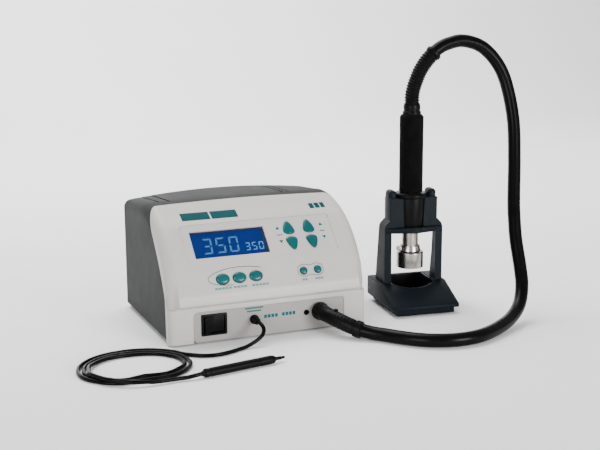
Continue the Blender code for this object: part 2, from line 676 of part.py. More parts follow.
def build_connectors(station, looks):
    """The let-in front panel with its rocker switch, vacuum socket and grounding jack."""
    fit = [(-PANEL_HALF + GAP, 0.3 * MM), (PANEL_HALF - GAP, 0.3 * MM), (PANEL_HALF - GAP, PANEL_TOP - GAP),
           (-PANEL_HALF + GAP, PANEL_TOP - GAP)]
    front = 0.5 * MM
    panel = mesh_object("connector_panel", slab(rounded(fit, PANEL_CORNER - GAP), front, front + PANEL_THICK, "Y"),
                        looks["panel"], station)
    body = (SWITCH_WIDTH - 2.4 * MM, SWITCH_HEIGHT - 2.4 * MM)
    switch_hole = slab(centred(SWITCH_X, SWITCH_Z, body[0] + 2 * GAP, body[1] + 2 * GAP), -20 * MM, 20 * MM, "Y")
    combine(panel, mesh_object("switch_hole", switch_hole, None, station))
    round_holes = (("vacuum_hole", VACUUM_X, VACUUM_Z, 3.2 * MM), ("jack_hole", JACK_X, JACK_Z, 2.9 * MM),
                   ("gland_hole", GLAND_X, GLAND_Z, GLAND_HOLE / 2))
    for name, x, z, radius in round_holes:
        ring = [(x + px, z + pz) for px, pz in oval(2 * radius, 2 * radius, 24)]
        combine(panel, mesh_object(name, slab(ring, -20 * MM, 20 * MM, "Y"), None, station))

    # The switch: a flange on the panel, a body through it, and a mouth for the rocker.
    outer = centred(SWITCH_X, SWITCH_Z, SWITCH_WIDTH, SWITCH_HEIGHT)
    switch = mesh_object("switch_body", slab(rounded(outer, 0.8 * MM, 2), front - GAP - 2 * MM, front - GAP, "Y"),
                         looks["black"], station)
    combine(switch, mesh_object("switch_case", slab(centred(SWITCH_X, SWITCH_Z, *body), front - GAP - 1 * MM,
                                                    SWITCH_DEPTH, "Y"), None, station), "UNION")
    mouth = centred(SWITCH_X, SWITCH_Z, SWITCH_WIDTH - 2 * SWITCH_RIM, SWITCH_HEIGHT - 2 * SWITCH_RIM)
    combine(switch, mesh_object("switch_mouth", slab(mouth, -20 * MM, 10 * MM, "Y"), None, station))
    # The rocker, at rest with its right end pressed in: a shallow V seen from above, turned about its pivot.
    half = (SWITCH_WIDTH - 2 * SWITCH_RIM) / 2 - 0.5 * MM
    high = (SWITCH_HEIGHT - 2 * SWITCH_RIM) / 2 - FIT
    wedge = half * math.tan(ROCK_ANGLE)
    outline = [(-half, -1.4 * MM - wedge), (0, -1.4 * MM), (half, -1.4 * MM - wedge), (0.72 * half, 4 * MM),
               (-0.72 * half, 4 * MM)]
    pivot = empty("rocker_pivot", (SWITCH_X, front + 1.2 * MM, SWITCH_Z), (0, 0, ROCK_ANGLE), station)
    mesh_object("power_rocker", slab(outline, -high, high), looks["black"], pivot)

    socket = [(0, 12 * MM), (3 * MM, 12 * MM), (3 * MM, GAP), (VACUUM_NUT / 2, GAP), (VACUUM_NUT / 2, -3.4 * MM),
              (VACUUM_NUT / 2 - 1 * MM, -4.4 * MM), (4.1 * MM, -4.4 * MM), (3.7 * MM, -12.6 * MM), (0, -12.6 * MM)]
    flip = Euler((-math.pi / 2, 0, 0))
    mesh_object("vacuum_socket", turned([(r, z) for r, z in reversed(socket)], 28), looks["black"], station,
                (VACUUM_X, front - 2 * GAP, VACUUM_Z), flip)
    jack = [(JACK_BORE / 2, 9 * MM), (2.6 * MM, 9 * MM), (2.6 * MM, GAP), (JACK_DIAMETER / 2, GAP),
            (JACK_DIAMETER / 2, -0.8 * MM), (JACK_BORE / 2, -0.8 * MM)]
    mesh_object("ground_jack", turned(jack, 28), looks["black"], station, (JACK_X, front - 2 * GAP, JACK_Z), flip)


def build_inside(station, looks):
    """What the unit holds: mains inlet and fuse drawer, transformer, pumps, boards and their ducts."""
    low, high = inlet_box(0)
    body_low, body_high = (low[0], DEPTH - 28 * MM, low[2]), (high[0], DEPTH + 0.4 * MM, high[2])
    inlet = mesh_object("mains_inlet", block(body_low, body_high), looks["black"], station)
    flange = block((low[0] - 3 * MM, DEPTH - 1.2 * MM, low[2] - 3 * MM),
                   (high[0] + 3 * MM, DEPTH + 1.2 * MM, high[2] + 3 * MM))
    combine(inlet, mesh_object("inlet_flange", flange, None, station), "UNION")
    cavity = [(low[0] + 2 * MM, 24 * MM), (low[0] + 6 * MM, 19 * MM), (high[0] - 6 * MM, 19 * MM),
              (high[0] - 2 * MM, 24 * MM), (high[0] - 2 * MM, 32 * MM), (low[0] + 2 * MM, 32 * MM)]
    combine(inlet, mesh_object("inlet_cavity", slab(cavity, DEPTH - 18 * MM, DEPTH + 30 * MM, "Y"), None, station))
    slot_low = Vector((low[0] + 2 * MM, DEPTH - 20 * MM, 34 * MM))
    slot_high = Vector((high[0] - 2 * MM, DEPTH + 30 * MM, 39 * MM))
    combine(inlet, mesh_object("drawer_slot", block(slot_low, slot_high), None, station))
    drawer = block(slot_low + Vector((GAP, GAP, GAP)), (slot_high.x - GAP, DEPTH + 2 * MM, slot_high.z - GAP))
    mesh_object("fuse_drawer", drawer, looks["black"], station)

    floor = COVER_LIFT - 2 * MM + TRAY_WALL + GAP
    wide, deep, tall = TRANSFORMER_SIZE
    back = DEPTH - TRANSFORMER_BACK
    core = block((TRANSFORMER_X - wide / 2, back - deep, floor), (TRANSFORMER_X + wide / 2, back, floor + tall),
                 1 * MM, 1)
    winding = block((TRANSFORMER_X - wide / 2 + 8 * MM, back - deep - WINDING_PROUD, floor + 8 * MM),
                    (TRANSFORMER_X + wide / 2 - 8 * MM, back + WINDING_PROUD, floor + tall - 8 * MM), 3 * MM)
    transformer = mesh_object("transformer", core, looks["steel"], station)
    combine(transformer, mesh_object("winding", winding, None, station), "UNION")

    radius = AIR_PUMP_RADIUS
    drum = [(0, 0), (radius - 2 * MM, 0), (radius, 3 * MM), (radius, 52 * MM), (radius - 4 * MM, 56 * MM),
            (0, 56 * MM)]
    pump = mesh_object("air_pump", turned(drum, 28), looks["cast"], station, (*AIR_PUMP_PLACE, floor))
    spout = turned([(0, -40 * MM), (7 * MM, -40 * MM), (7 * MM, 0), (0, 0)], 20)
    spout_place = (AIR_PUMP_PLACE[0], AIR_PUMP_PLACE[1] - radius - 4 * MM, floor + 20 * MM)
    combine(pump, mesh_object("pump_spout", spout, None, station, spout_place, (math.pi / 2, 0, 0)), "UNION")
    drum = [(0, 0), (16 * MM, 0), (16 * MM, 34 * MM), (12 * MM, 38 * MM), (12 * MM, 48 * MM), (0, 48 * MM)]
    mesh_object("vacuum_pump", turned(drum, 24), looks["cast"], station, (*VACUUM_PUMP_PLACE, floor))
    board = block((-100 * MM, BOARD_FRONT, floor + 6 * MM),
                  (-10 * MM, back - deep - WINDING_PROUD - 4 * MM, floor + 7.6 * MM))
    mesh_object("main_board", board, looks["board"], station)


def build_ducts(station, looks):
    """The rubber elbow from the air pump to the hose gland, and the thin line to the vacuum socket."""
    floor = (COVER_LIFT - 2 * MM + TRAY_WALL + GAP) / MM
    z = floor + 20
    tube("air_duct", [(56, 79.5, z), (56, 66, z), (57.5, 48, z - 0.5), (60, 32, 22.3), (61, 20.5, 22)],
         7 * MM, looks["rubber"], station)
    tube("vacuum_line", [(-4, 103.4, floor + 20), (-4, 94, floor + 20), (-7, 78, 27), (-16, 52, 24), (-20.6, 30, 20.6),
                         (-20.6, 13, 20.6)], 2.4 * MM, looks["rubber"], station)


def build_gland(bench, looks):
    """The air hose's strain relief: a bent sleeve that starts on the panel."""
    tube("hose_gland", SLEEVE_ROUTE, SLEEVE_DIAMETER / 2, looks["rubber"], bench, 4, 5 * MM)


# ---------------------------------------------------------------- stand

def build_stand(stand, looks):
    slope = [(-1.5 * MM, SKIRT_HEIGHT), (-1.5 * MM, BASE_FRONT_HEIGHT - 1 * MM), (0, BASE_FRONT_HEIGHT),
             (BASE_SLOPE_END, BASE_REAR_HEIGHT), (BASE_LENGTH - 1.5 * MM, BASE_REAR_HEIGHT),
             (BASE_LENGTH, BASE_REAR_HEIGHT - 1.5 * MM), (BASE_LENGTH, SKIRT_HEIGHT + 2 * MM)]
    base = mesh_object("stand_base", slab(slope, -BASE_HALF, BASE_HALF, "X"), looks["slate"], stand)
    skirt = block((-BASE_HALF + SKIRT_INSET, 0, PAD_DROP), (BASE_HALF - SKIRT_INSET, BASE_LENGTH - SKIRT_INSET,
                                                            SKIRT_HEIGHT + 5 * MM))
    combine(base, mesh_object("stand_skirt", skirt, None, stand), "UNION")
    combine(base, mesh_object("well_cutter", slab(well_outline(GAP), WELL_FLOOR - GAP, 1), None, stand))
    cup = mesh_object("heat_cup", slab(well_outline(0), WELL_FLOOR, BASE_REAR_HEIGHT - 0.6 * MM), looks["gloss"], stand)
    steepness = (BASE_REAR_HEIGHT - BASE_FRONT_HEIGHT) / BASE_SLOPE_END
    foot, brim = BASE_FRONT_HEIGHT - 0.6 * MM, BASE_REAR_HEIGHT - 0.6 * MM
    wedge = [(-20 * MM, foot - 20 * MM * steepness), (BASE_SLOPE_END, brim), (BASE_SLOPE_END, 1), (-20 * MM, 1)]
    combine(cup, mesh_object("cup_slope", slab(wedge, -1, 1, "X"), None, stand))
    combine(cup, mesh_object("cup_hollow", slab(well_outline(-CUP_WALL), WELL_FLOOR + CUP_WALL, 1), None, stand))


def well_outline(grow):
    """The well in plan: square at the back, its front an arc between the posts."""
    half = WELL_HALF + grow
    front, back = WELL_FRONT - grow, WELL_REAR + grow
    shoulder = POST_FRONT
    rise = shoulder - front
    radius = (half ** 2 + rise ** 2) / (2 * rise)
    centre = front + radius
    reach = math.asin(half / radius)
    arc = [(radius * math.sin(a), centre - radius * math.cos(a))
           for a in [-reach + 2 * reach * k / 14 for k in range(15)]]
    return [*arc, (half, back), (-half, back)]


def post_outline(side, level):
    """A post in plan: a bar with a thin fin along its outer side, running back."""
    bar, fin = POST_BACK[level], FIN_BACK[level]
    plan = [(POST_INNER, POST_FRONT), (POST_OUTER, POST_FRONT), (POST_OUTER, fin), (POST_OUTER - FIN_THICK, fin),
            (POST_OUTER - FIN_THICK, bar), (POST_INNER, bar)]
    return [(side * x, y) for x, y in plan]


def build_upright(stand, looks):
    """Two posts with side fins, joined by the cradle that the handle hangs in."""
    foot = BASE_REAR_HEIGHT + GAP
    step = 0.15 * MM  # keeps faces of united pieces from lying in one plane
    wide = POST_OUTER - step
    shoulder = [(-wide, SEAT_LOW), (wide, SEAT_LOW), (wide, POST_TOP), (CRADLE_HALF, POST_TOP + 7 * MM),
                (-CRADLE_HALF, POST_TOP + 7 * MM), (-wide, POST_TOP)]
    upright = mesh_object("stand_upright", slab(shoulder, POST_FRONT + step, CRADLE_BACK, "Y"), looks["slate"],
                          stand)
    for side in (-1, 1):
        top = POST_TOP - 3 * MM
        rings = [[(x, y, z) for x, y in post_outline(side, level)] for level, z in ((0, foot), (1, top))]
        combine(upright, mesh_object(f"post_{side}", loft(rings), None, stand), "UNION")
    cradle = block((-CRADLE_HALF + step, POST_FRONT - step, CRADLE_LOW),
                   (CRADLE_HALF - step, CRADLE_BACK + step, EAR_Z), 1.5 * MM)
    combine(upright, mesh_object("cradle_block", cradle, None, stand), "UNION")
    bore_low = SHROUD_LOW_RADIUS + SEAT_CLEARANCE
    bore_top = SHROUD_TOP_RADIUS + SEAT_CLEARANCE
    at = (0, AXIS_Y, 0)
    low, high, outer = SEAT_LOW - 1 * MM, LEDGE_Z + 2 * MM, bore_top + SEAT_WALL
    back = turned([(0, low), (outer, low), (outer, high), (0, high)], 40)
    combine(upright, mesh_object("cradle_back", back, None, stand, at), "UNION")
    trim = block((-1, -1, SEAT_LOW + 7 * MM), (1, POST_FRONT + 2 * step, 1))
    combine(upright, mesh_object("front_trim", trim, None, stand))
    bore = turned([(0, SEAT_LOW - 20 * MM), (bore_low, SEAT_LOW - 20 * MM), (bore_low, SHROUD_LOW),
                   (bore_top, LEDGE_Z), (bore_top, 1), (0, 1)], 40)
    combine(upright, mesh_object("cradle_bore", bore, None, stand, at))
    gate = COLLAR_RADIUS + SEAT_CLEARANCE
    combine(upright, mesh_object("ear_gap", block((-gate, -1, LEDGE_Z), (gate, 1, 1)), None, stand))
    key_out = -CLAMP_RADIUS - LUG_REACH - SEAT_CLEARANCE
    keyway = block((key_out, AXIS_Y - CLAMP_SCREW_END - SEAT_CLEARANCE, SEAT_LOW - 20 * MM),
                   (-HEATER_RADIUS, AXIS_Y + LUG_HALF + SEAT_CLEARANCE, 1))
    combine(upright, mesh_object("lug_keyway", keyway, None, stand))


def build_pads(stand, looks):
    """Four rubber pads under the stand."""
    for x in (-1, 1):
        for y, place in ((12 * MM, "front"), (BASE_LENGTH - SKIRT_INSET - 12 * MM, "rear")):
            side = "left" if x < 0 else "right"
            pad = turned([(0, PAD_DROP - GAP), (6 * MM, PAD_DROP - GAP), (6 * MM, 0), (0, 0)], 20)
            mesh_object(f"stand_pad_{place}_{side}", pad, looks["rubber"], stand,
                        (x * (BASE_HALF - SKIRT_INSET - 9 * MM), y, 0))


# ---------------------------------------------------------------- handle

def build_handle(handle, looks):
    """Nozzle, heater, shroud, collar, grip and cuff, all about the handle's own axis."""
    neck = HEATER_RADIUS + GAP
    top = NOZZLE_LOW + NOZZLE_HEIGHT
    shell = [(NOZZLE_RADIUS, NOZZLE_LOW), (NOZZLE_RADIUS, top - 1 * MM), (NOZZLE_RADIUS - 1.6 * MM, top),
             (neck + 1.1 * MM, top), (neck + 1.1 * MM, top + CLAMP_HEIGHT), (neck, top + CLAMP_HEIGHT),
             (neck, top - NOZZLE_WALL), (NOZZLE_RADIUS - NOZZLE_WALL, top - NOZZLE_WALL),
             (NOZZLE_RADIUS - NOZZLE_WALL, NOZZLE_LOW)]
    mesh_object("nozzle", turned(shell, 40), looks["steel"], handle)
    inner = neck + 1.1 * MM + GAP
    ring = [(inner, top + 1 * MM), (CLAMP_RADIUS + 0.8 * MM, top + 1 * MM),
            (CLAMP_RADIUS + 0.8 * MM, top + CLAMP_HEIGHT - 1 * MM), (inner, top + CLAMP_HEIGHT - 1 * MM)]
    clamp = mesh_object("nozzle_clamp", turned(ring, 36), looks["steel"], handle)
    lug = block((-CLAMP_RADIUS - LUG_REACH, -LUG_HALF, top + 1.6 * MM),
                (-inner - 0.4 * MM, LUG_HALF, top + CLAMP_HEIGHT - 1.6 * MM))
    combine(clamp, mesh_object("clamp_lug", lug, None, handle), "UNION")
    screw_z = top + CLAMP_HEIGHT / 2
    head = [(0, -CLAMP_SCREW_END), (2.6 * MM, -CLAMP_SCREW_END), (2.6 * MM, -LUG_HALF - GAP), (0, -LUG_HALF - GAP)]
    screw = turned(head, 16)
    mesh_object("clamp_screw", screw, looks["steel"], handle, (-CLAMP_RADIUS - 3.6 * MM, 0, screw_z),
                (-math.pi / 2, 0, 0))
    bore = HEATER_RADIUS - HEATER_WALL
    heater_top = LEDGE_Z + COLLAR_HEIGHT
    heater = [(HEATER_RADIUS, top - 4 * MM), (HEATER_RADIUS, heater_top), (bore, heater_top), (bore, top - 4 * MM)]
    mesh_object("heater_tube", turned(heater, 32), looks["heater"], handle)
    core = [(0, top + 2 * MM), (7 * MM, top + 2 * MM), (7 * MM, heater_top - 6 * MM), (0, heater_top - 6 * MM)]
    mesh_object("heater_core", turned(core, 20), looks["ceramic"], handle)
    ledge = LEDGE_Z + GAP
    inside = HEATER_RADIUS + GAP
    shroud = [(inside, SHROUD_LOW), (SHROUD_LOW_RADIUS - 0.8 * MM, SHROUD_LOW),
              (SHROUD_LOW_RADIUS, SHROUD_LOW + 0.8 * MM), (SHROUD_TOP_RADIUS, ledge - GAP), (inside, ledge - GAP)]
    mesh_object("heat_shroud", turned(shroud, 40), looks["black"], handle)
    collar_top = ledge + COLLAR_HEIGHT
    collar = [(inside, ledge), (COLLAR_RADIUS - 0.6 * MM, ledge), (COLLAR_RADIUS, ledge + 0.8 * MM),
              (COLLAR_RADIUS, collar_top - 1.6 * MM), (COLLAR_RADIUS - 1.6 * MM, collar_top), (inside, collar_top)]
    mesh_object("handle_collar", turned(collar, 40), looks["black"], handle)
    grip_low = collar_top + GAP
    grip_top = grip_low + GRIP_HEIGHT
    tube_outline = [(0, grip_low), (CORE_RADIUS, grip_low), (CORE_RADIUS, grip_top), (0, grip_top)]
    mesh_object("handle_core", turned(tube_outline, 28), looks["black"], handle)
    sleeve = [(CORE_RADIUS + GAP, grip_low), (GRIP_RADIUS - 0.7 * MM, grip_low), (GRIP_RADIUS, grip_low + 0.7 * MM),
              (GRIP_RADIUS, grip_top - 1 * MM), (GRIP_RADIUS - 1 * MM, grip_top), (CORE_RADIUS + GAP, grip_top)]
    mesh_object("foam_grip", turned(sleeve, 32), looks["foam"], handle)
    cuff_low = grip_top + GAP
    cuff_top = cuff_low + CUFF_HEIGHT
    cuff = [(0, cuff_low), (CUFF_RADIUS, cuff_low), (CUFF_RADIUS, cuff_top - 5 * MM), (BOOT_RADIUS, cuff_top),
            (0, cuff_top)]
    mesh_object("handle_cuff", turned(cuff, 32), looks["black"], handle)


def build_hoses(bench, looks):
    """The strain relief boot and its end ring, and the two free hoses where they lie."""
    tube("hose_boot", BOOT_ROUTE, BOOT_RADIUS, looks["rubber"], bench, 3, 9 * MM)
    tube("boot_ring", RING_ROUTE, RING_RADIUS, looks["black"], bench, 4, 3 * MM)
    tube("hose_lower", HOSE_GROUND, HOSE_DIAMETER / 2, looks["hose"], bench, 2, 12 * MM)
    tube("hose_upper", HOSE_ARCH, HOSE_DIAMETER / 2, looks["hose"], bench, 2, 12 * MM)
    radius = VACUUM_HOSE_DIAMETER / 2
    tube("vacuum_hose_lead", VACUUM_LEAD, radius, looks["hose"], bench, 2, 8 * MM)
    tube("vacuum_hose_tail", VACUUM_TAIL, radius, looks["hose"], bench, 2, 8 * MM)
    middle, wide = (COIL_OUTER + COIL_INNER) / 2, (COIL_OUTER - COIL_INNER) / 2
    loop = [(middle + wide * math.cos(a), COIL_HEIGHT / 2 * (1 + math.sin(a)))
            for a in [2 * math.pi * k / 12 for k in range(12)]]
    coil = turned(loop, 48)
    bmesh.ops.scale(coil, vec=(COIL_STRETCH, 1, 1), verts=coil.verts)
    mesh_object("vacuum_hose_coil", coil, looks["hose"], bench, (COIL_X, COIL_Y, 0))


def build_pen(bench, looks):
    """The pick-up pen, its tail barb towards the hose and its needle holder in front."""
    place = (PEN_TAIL.x, PEN_TAIL.y, PEN_RADIUS)
    lie = Euler((0, math.pi / 2, PEN_ANGLE))
    body = [(0, 0), (3 * MM, 0), (3 * MM, 2.5 * MM), (PEN_RADIUS, 3.5 * MM), (PEN_RADIUS, PEN_LENGTH - 8 * MM),
            (PEN_RADIUS * 0.86, PEN_LENGTH - 3.5 * MM), (PEN_RADIUS * 0.5, PEN_LENGTH), (0, PEN_LENGTH)]
    mesh_object("pen_body", turned(body, 24), looks["black"], bench, place, lie)
    needle = [(0, PEN_LENGTH + GAP), (NEEDLE_RADIUS, PEN_LENGTH + GAP), (NEEDLE_RADIUS, PEN_LENGTH + NEEDLE_LENGTH),
              (0, PEN_LENGTH + NEEDLE_LENGTH)]
    mesh_object("pen_needle", turned(needle, 16), looks["black"], bench, place, lie)


def stand_on_origin(bench, free):
    """Moves the bench frame so that the box of everything but the free hoses stands centred on the origin."""
    bpy.context.view_layer.update()
    graph = bpy.context.evaluated_depsgraph_get()
    corners = []
    for made in bpy.context.scene.objects:
        if made.type == "EMPTY" or made.hide_render or made.name in free:
            continue
        evaluated = made.evaluated_get(graph)
        corners += [evaluated.matrix_world @ vert.co for vert in evaluated.to_mesh().vertices]
        evaluated.to_mesh_clear()
    low = [min(c[i] for c in corners) for i in range(3)]
    high = [max(c[i] for c in corners) for i in range(3)]
    bench.location = (-(low[0] + high[0]) / 2, -(low[1] + high[1]) / 2, -low[2])


def palette():
    return {
        "bezel": material("warm_grey_plastic", (0.62, 0.60, 0.575), 0.38),
        "panel": material("panel_plastic", (0.50, 0.48, 0.475), 0.45),
        "cover": material("dark_grey_plastic", (0.13, 0.135, 0.132), 0.55),
        "tray": material("painted_steel", (0.08, 0.08, 0.085), 0.5, 0.3),
        "teal": material("teal_plastic", (0.0, 0.23, 0.23), 0.3),
        "black": material("black_plastic", (0.012, 0.012, 0.013), 0.35),
        "gloss": material("black_enamel", (0.008, 0.008, 0.009), 0.15),
        "window": material("clear_acrylic", (0.1, 0.3, 0.7), 0.05),
        "lcd": material("blue_display", (0.02, 0.1, 0.5), 0.3),
        "board": material("circuit_board", (0.02, 0.16, 0.06), 0.5),
        "rubber": material("black_rubber", (0.014, 0.014, 0.015), 0.6),
        "hose": material("glossy_rubber", (0.01, 0.01, 0.011), 0.3),
        "foam": material("black_foam", (0.012, 0.012, 0.013), 0.9),
        "slate": material("slate_plastic", (0.03, 0.04, 0.048), 0.42),
        "steel": material("bright_steel", (0.62, 0.6, 0.57), 0.25, 1.0),
        "heater": material("heater_steel", (0.55, 0.53, 0.5), 0.3, 1.0),
        "cast": material("cast_alloy", (0.4, 0.4, 0.41), 0.5, 0.8),
        "ceramic": material("ceramic", (0.75, 0.72, 0.66), 0.7),
    }


def main():
    clear_scene()
    looks = palette()
    bench = empty("bench")
    station = empty("station", (0, 0, FOOT_DROP), parent=bench)
    field = control_field(station)
    row = button_row(station)
    build_shell(station, field, row, looks)
    build_display(field, looks)
    build_keys(field, row, looks)
    build_connectors(station, looks)
    build_inside(station, looks)
    build_ducts(station, looks)
    build_gland(bench, looks)
    stand = empty("stand", (STAND_X, STAND_Y, 0), (0, 0, STAND_TURN), bench)
    build_stand(stand, looks)
    build_upright(stand, looks)
    build_pads(stand, looks)
    handle = empty("handle", (0, AXIS_Y, 0), parent=stand)
    build_handle(handle, looks)
    build_hoses(bench, looks)
    build_pen(bench, looks)
    stand_on_origin(bench, {"hose_gland", "hose_lower", "hose_upper", "vacuum_hose_lead", "vacuum_hose_coil",
                            "vacuum_hose_tail"})


main()
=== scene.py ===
"""Hot air rework station: the visible model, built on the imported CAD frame."""

import math

import bmesh
import bpy
from mathutils import Euler, Matrix, Vector


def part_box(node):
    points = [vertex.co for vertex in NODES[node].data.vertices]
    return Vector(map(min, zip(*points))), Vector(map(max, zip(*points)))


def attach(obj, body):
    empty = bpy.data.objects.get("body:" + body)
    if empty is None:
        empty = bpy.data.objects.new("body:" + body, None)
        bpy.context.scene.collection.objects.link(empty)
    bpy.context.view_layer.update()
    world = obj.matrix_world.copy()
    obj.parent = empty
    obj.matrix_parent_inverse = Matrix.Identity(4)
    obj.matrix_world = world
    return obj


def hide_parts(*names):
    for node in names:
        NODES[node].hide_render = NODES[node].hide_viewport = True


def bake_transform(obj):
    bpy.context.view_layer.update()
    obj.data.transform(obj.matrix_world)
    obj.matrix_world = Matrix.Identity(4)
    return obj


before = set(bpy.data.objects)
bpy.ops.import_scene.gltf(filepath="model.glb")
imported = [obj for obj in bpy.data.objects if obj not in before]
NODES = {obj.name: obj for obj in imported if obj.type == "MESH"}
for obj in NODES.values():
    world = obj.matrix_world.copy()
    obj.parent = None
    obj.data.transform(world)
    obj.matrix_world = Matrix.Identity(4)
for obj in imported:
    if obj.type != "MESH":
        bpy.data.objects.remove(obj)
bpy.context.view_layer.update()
MM = 0.001

# The unit's own frame: X = 0 at its middle, Y = 0 at its lower front panel, Z = 0 at the moulding's foot
DEPTH = 194 * MM
FOOT_DROP = 2 * MM
UNIT_X = sum(corner.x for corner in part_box("front_bezel")) / 2
UNIT_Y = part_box("rear_cover")[1].y - DEPTH
BENCH = Matrix.Translation((UNIT_X, UNIT_Y, 0))
UNIT = Matrix.Translation((UNIT_X, UNIT_Y, FOOT_DROP))
STAND = BENCH @ Matrix.Translation((205.5 * MM, 0.8 * MM, 0)) @ Matrix.Rotation(math.radians(-6.3), 4, "Z")
AXIS_Y = 57.5 * MM
WORLD = Matrix.Identity(4)
HANDLE = STAND @ Matrix.Translation((0, AXIS_Y, 0))

# Sizes that follow part.py
WIDTH = 245 * MM
FACE_RADIUS = 116.5 * MM
FACE_CENTRE_Y = 111.8 * MM
FACE_CENTRE_Z = 28.2 * MM
FACE_LOW_Z = 74 * MM
BROW_Z = 50 * MM
BROW_OUT = 6 * MM
BROW_FOOT_Z = 41.5 * MM
CROWN = 8 * MM
FRONT_CROWN = 1.5 * MM
ROOF_LIFT = 2.2 * MM
ROOF_FALL = 3 * MM
REAR_FALL = 7 * MM
WALL = 2.6 * MM
ROOF_Z = FACE_CENTRE_Z + FACE_RADIUS + ROOF_LIFT
FIELD_DEPTH = 3 * MM
FIELD_LEFT, FIELD_RIGHT = -93.5 * MM, 92.5 * MM
FIELD_TOP, FIELD_BOTTOM = 26.2 * MM, -28 * MM
LCD_X, LCD_UP, LCD_WIDTH, LCD_HEIGHT = -38.3 * MM, -1.7 * MM, 91.2 * MM, 36.8 * MM
KEY_X = (38 * MM, 63.5 * MM)
KEY_UP = 10.8 * MM
OVAL_X = (-56.9 * MM, -36.7 * MM, -16.5 * MM)
ROUND_X = (43 * MM, 60.9 * MM)
BUTTON_Z = 71.7 * MM
GROOVE_X = (-101 * MM, -88 * MM, 58 * MM, 66 * MM)
PANEL_FRONT = 0.5 * MM
SWITCH_AT = (-69.3 * MM, 20.2 * MM)
VACUUM_AT = (-20.6, 20.6)
JACK_AT = (45, 21.2)
GLAND_AT = (61, 22)


# ---------------------------------------------------------------- camera, first of all

def aim_camera():
    yaw, pitch, roll = 0.394, 0.210, -0.005
    ahead = Vector((math.sin(yaw) * math.cos(pitch), math.cos(yaw) * math.cos(pitch), -math.sin(pitch)))
    level = Vector((math.cos(yaw), -math.sin(yaw), 0))
    above = level.cross(ahead)
    right = level * math.cos(roll) + above * math.sin(roll)
    up = above * math.cos(roll) - level * math.sin(roll)
    camera = bpy.data.objects.new("camera", bpy.data.cameras.new("camera"))
    bpy.context.scene.collection.objects.link(camera)
    place = Matrix((right, up, -ahead)).transposed().to_4x4()
    place.translation = UNIT @ Vector((-484.0 * MM, -1254.05 * MM, 416.45 * MM))
    camera.matrix_world = place
    camera.data.lens = 72
    camera.data.sensor_width = 36
    camera.data.clip_start = 0.05
    bpy.context.scene.camera = camera


aim_camera()


# ---------------------------------------------------------------- shape helpers

def mm(points):
    """Points given in millimetres, in metres."""
    return [tuple(v * MM for v in point) for point in points]


def loft(rings, closed=False, capped=True):
    """A skin through rings of equal length, with flat ends unless it closes on itself."""
    bm = bmesh.new()
    rows = [[bm.verts.new(point) for point in ring] for ring in rings]
    pairs = list(zip(rows, rows[1:])) + ([(rows[-1], rows[0])] if closed else [])
    for lower, upper in pairs:
        for i, corner in enumerate(lower):
            j = (i + 1) % len(lower)
            bm.faces.new((corner, lower[j], upper[j], upper[i]))
    if capped and not closed:
        bm.faces.new(rows[0])
        bm.faces.new(rows[-1])
    return bm


def slab(outline, low, high, axis="Z"):
    def at(pair, height):
        a, b = pair
        return {"X": (height, a, b), "Y": (a, height, b), "Z": (a, b, height)}[axis]
    return loft([[at(pair, height) for pair in outline] for height in (low, high)])


def block(low, high, rounding=0.0, segments=3):
    bm = bmesh.new()
    bmesh.ops.create_cube(bm, size=1)
    for vert in bm.verts:
        vert.co = Vector([low[i] + (vert.co[i] + 0.5) * (high[i] - low[i]) for i in range(3)])
    if rounding:
        bmesh.ops.bevel(bm, geom=bm.edges[:], offset=rounding, segments=segments, affect="EDGES", profile=0.5)
    return bm


def softened(points, radius, steps=3):
    """A (radius, height) outline with each of its inner corners rounded by up to the radius given."""
    result = [points[0]]
    for before, here, after in zip(points, points[1:], points[2:]):
        a, b, c = Vector(before), Vector(here), Vector(after)
        to_a, to_c = a - b, c - b
        reach = min(radius, 0.45 * to_a.length, 0.45 * to_c.length)
        short = to_a.length < 1e-7 or to_c.length < 1e-7 or reach < 1e-6
        if short or abs(to_a.normalized().dot(to_c.normalized())) > 0.999:
            result.append(here)
            continue
        start, end = b + to_a.normalized() * reach, b + to_c.normalized() * reach
        for k in range(steps + 1):
            t = k / steps
            result.append(tuple((1 - t) ** 2 * start + 2 * t * (1 - t) * b + t * t * end))
    return [*result, points[-1]]


def turned(profile, segments=48, soft=0.0):
    """A solid of revolution about Z. The profile runs from the axis to the axis, or closes on itself."""
    ends_on_axis = profile[0][0] <= 0 and profile[-1][0] <= 0
    if soft:
        loop = profile if ends_on_axis else [profile[-1], *profile, profile[0]]
        profile = softened(loop, soft)
        profile = profile if ends_on_axis else profile[1:-1]
    bm = bmesh.new()
    rows = []
    for radius, height in profile:
        if radius <= 0:
            rows.append([bm.verts.new((0, 0, height))] * segments)
        else:
            angles = [2 * math.pi * i / segments for i in range(segments)]
            rows.append([bm.verts.new((radius * math.cos(a), radius * math.sin(a), height)) for a in angles])
    pairs = list(zip(rows, rows[1:])) + ([] if ends_on_axis else [(rows[-1], rows[0])])
    for lower, upper in pairs:
        for i in range(segments):
            j = (i + 1) % segments
            corners = dict.fromkeys((lower[i], lower[j], upper[j], upper[i]))
            if len(corners) > 2:
                bm.faces.new(corners)
    return bm


def rounded(corners, radius, steps=6):
    points = []
    count = len(corners)
    for i, corner in enumerate(corners):
        here = Vector(corner)
        before = (Vector(corners[i - 1]) - here).normalized()
        after = (Vector(corners[(i + 1) % count]) - here).normalized()
        half = before.angle(after) / 2
        reach = radius / math.tan(half)
        centre = here + (before + after).normalized() * (radius / math.sin(half))
        start = here + before * reach - centre
        sweep = start.angle_signed(here + after * reach - centre)
        for k in range(steps + 1):
            points.append(tuple(centre + Matrix.Rotation(-sweep * k / steps, 2) @ start))
    return points


def oval(width, height, steps=40):
    angles = [2 * math.pi * i / steps for i in range(steps)]
    return [(width / 2 * math.cos(a), height / 2 * math.sin(a)) for a in angles]


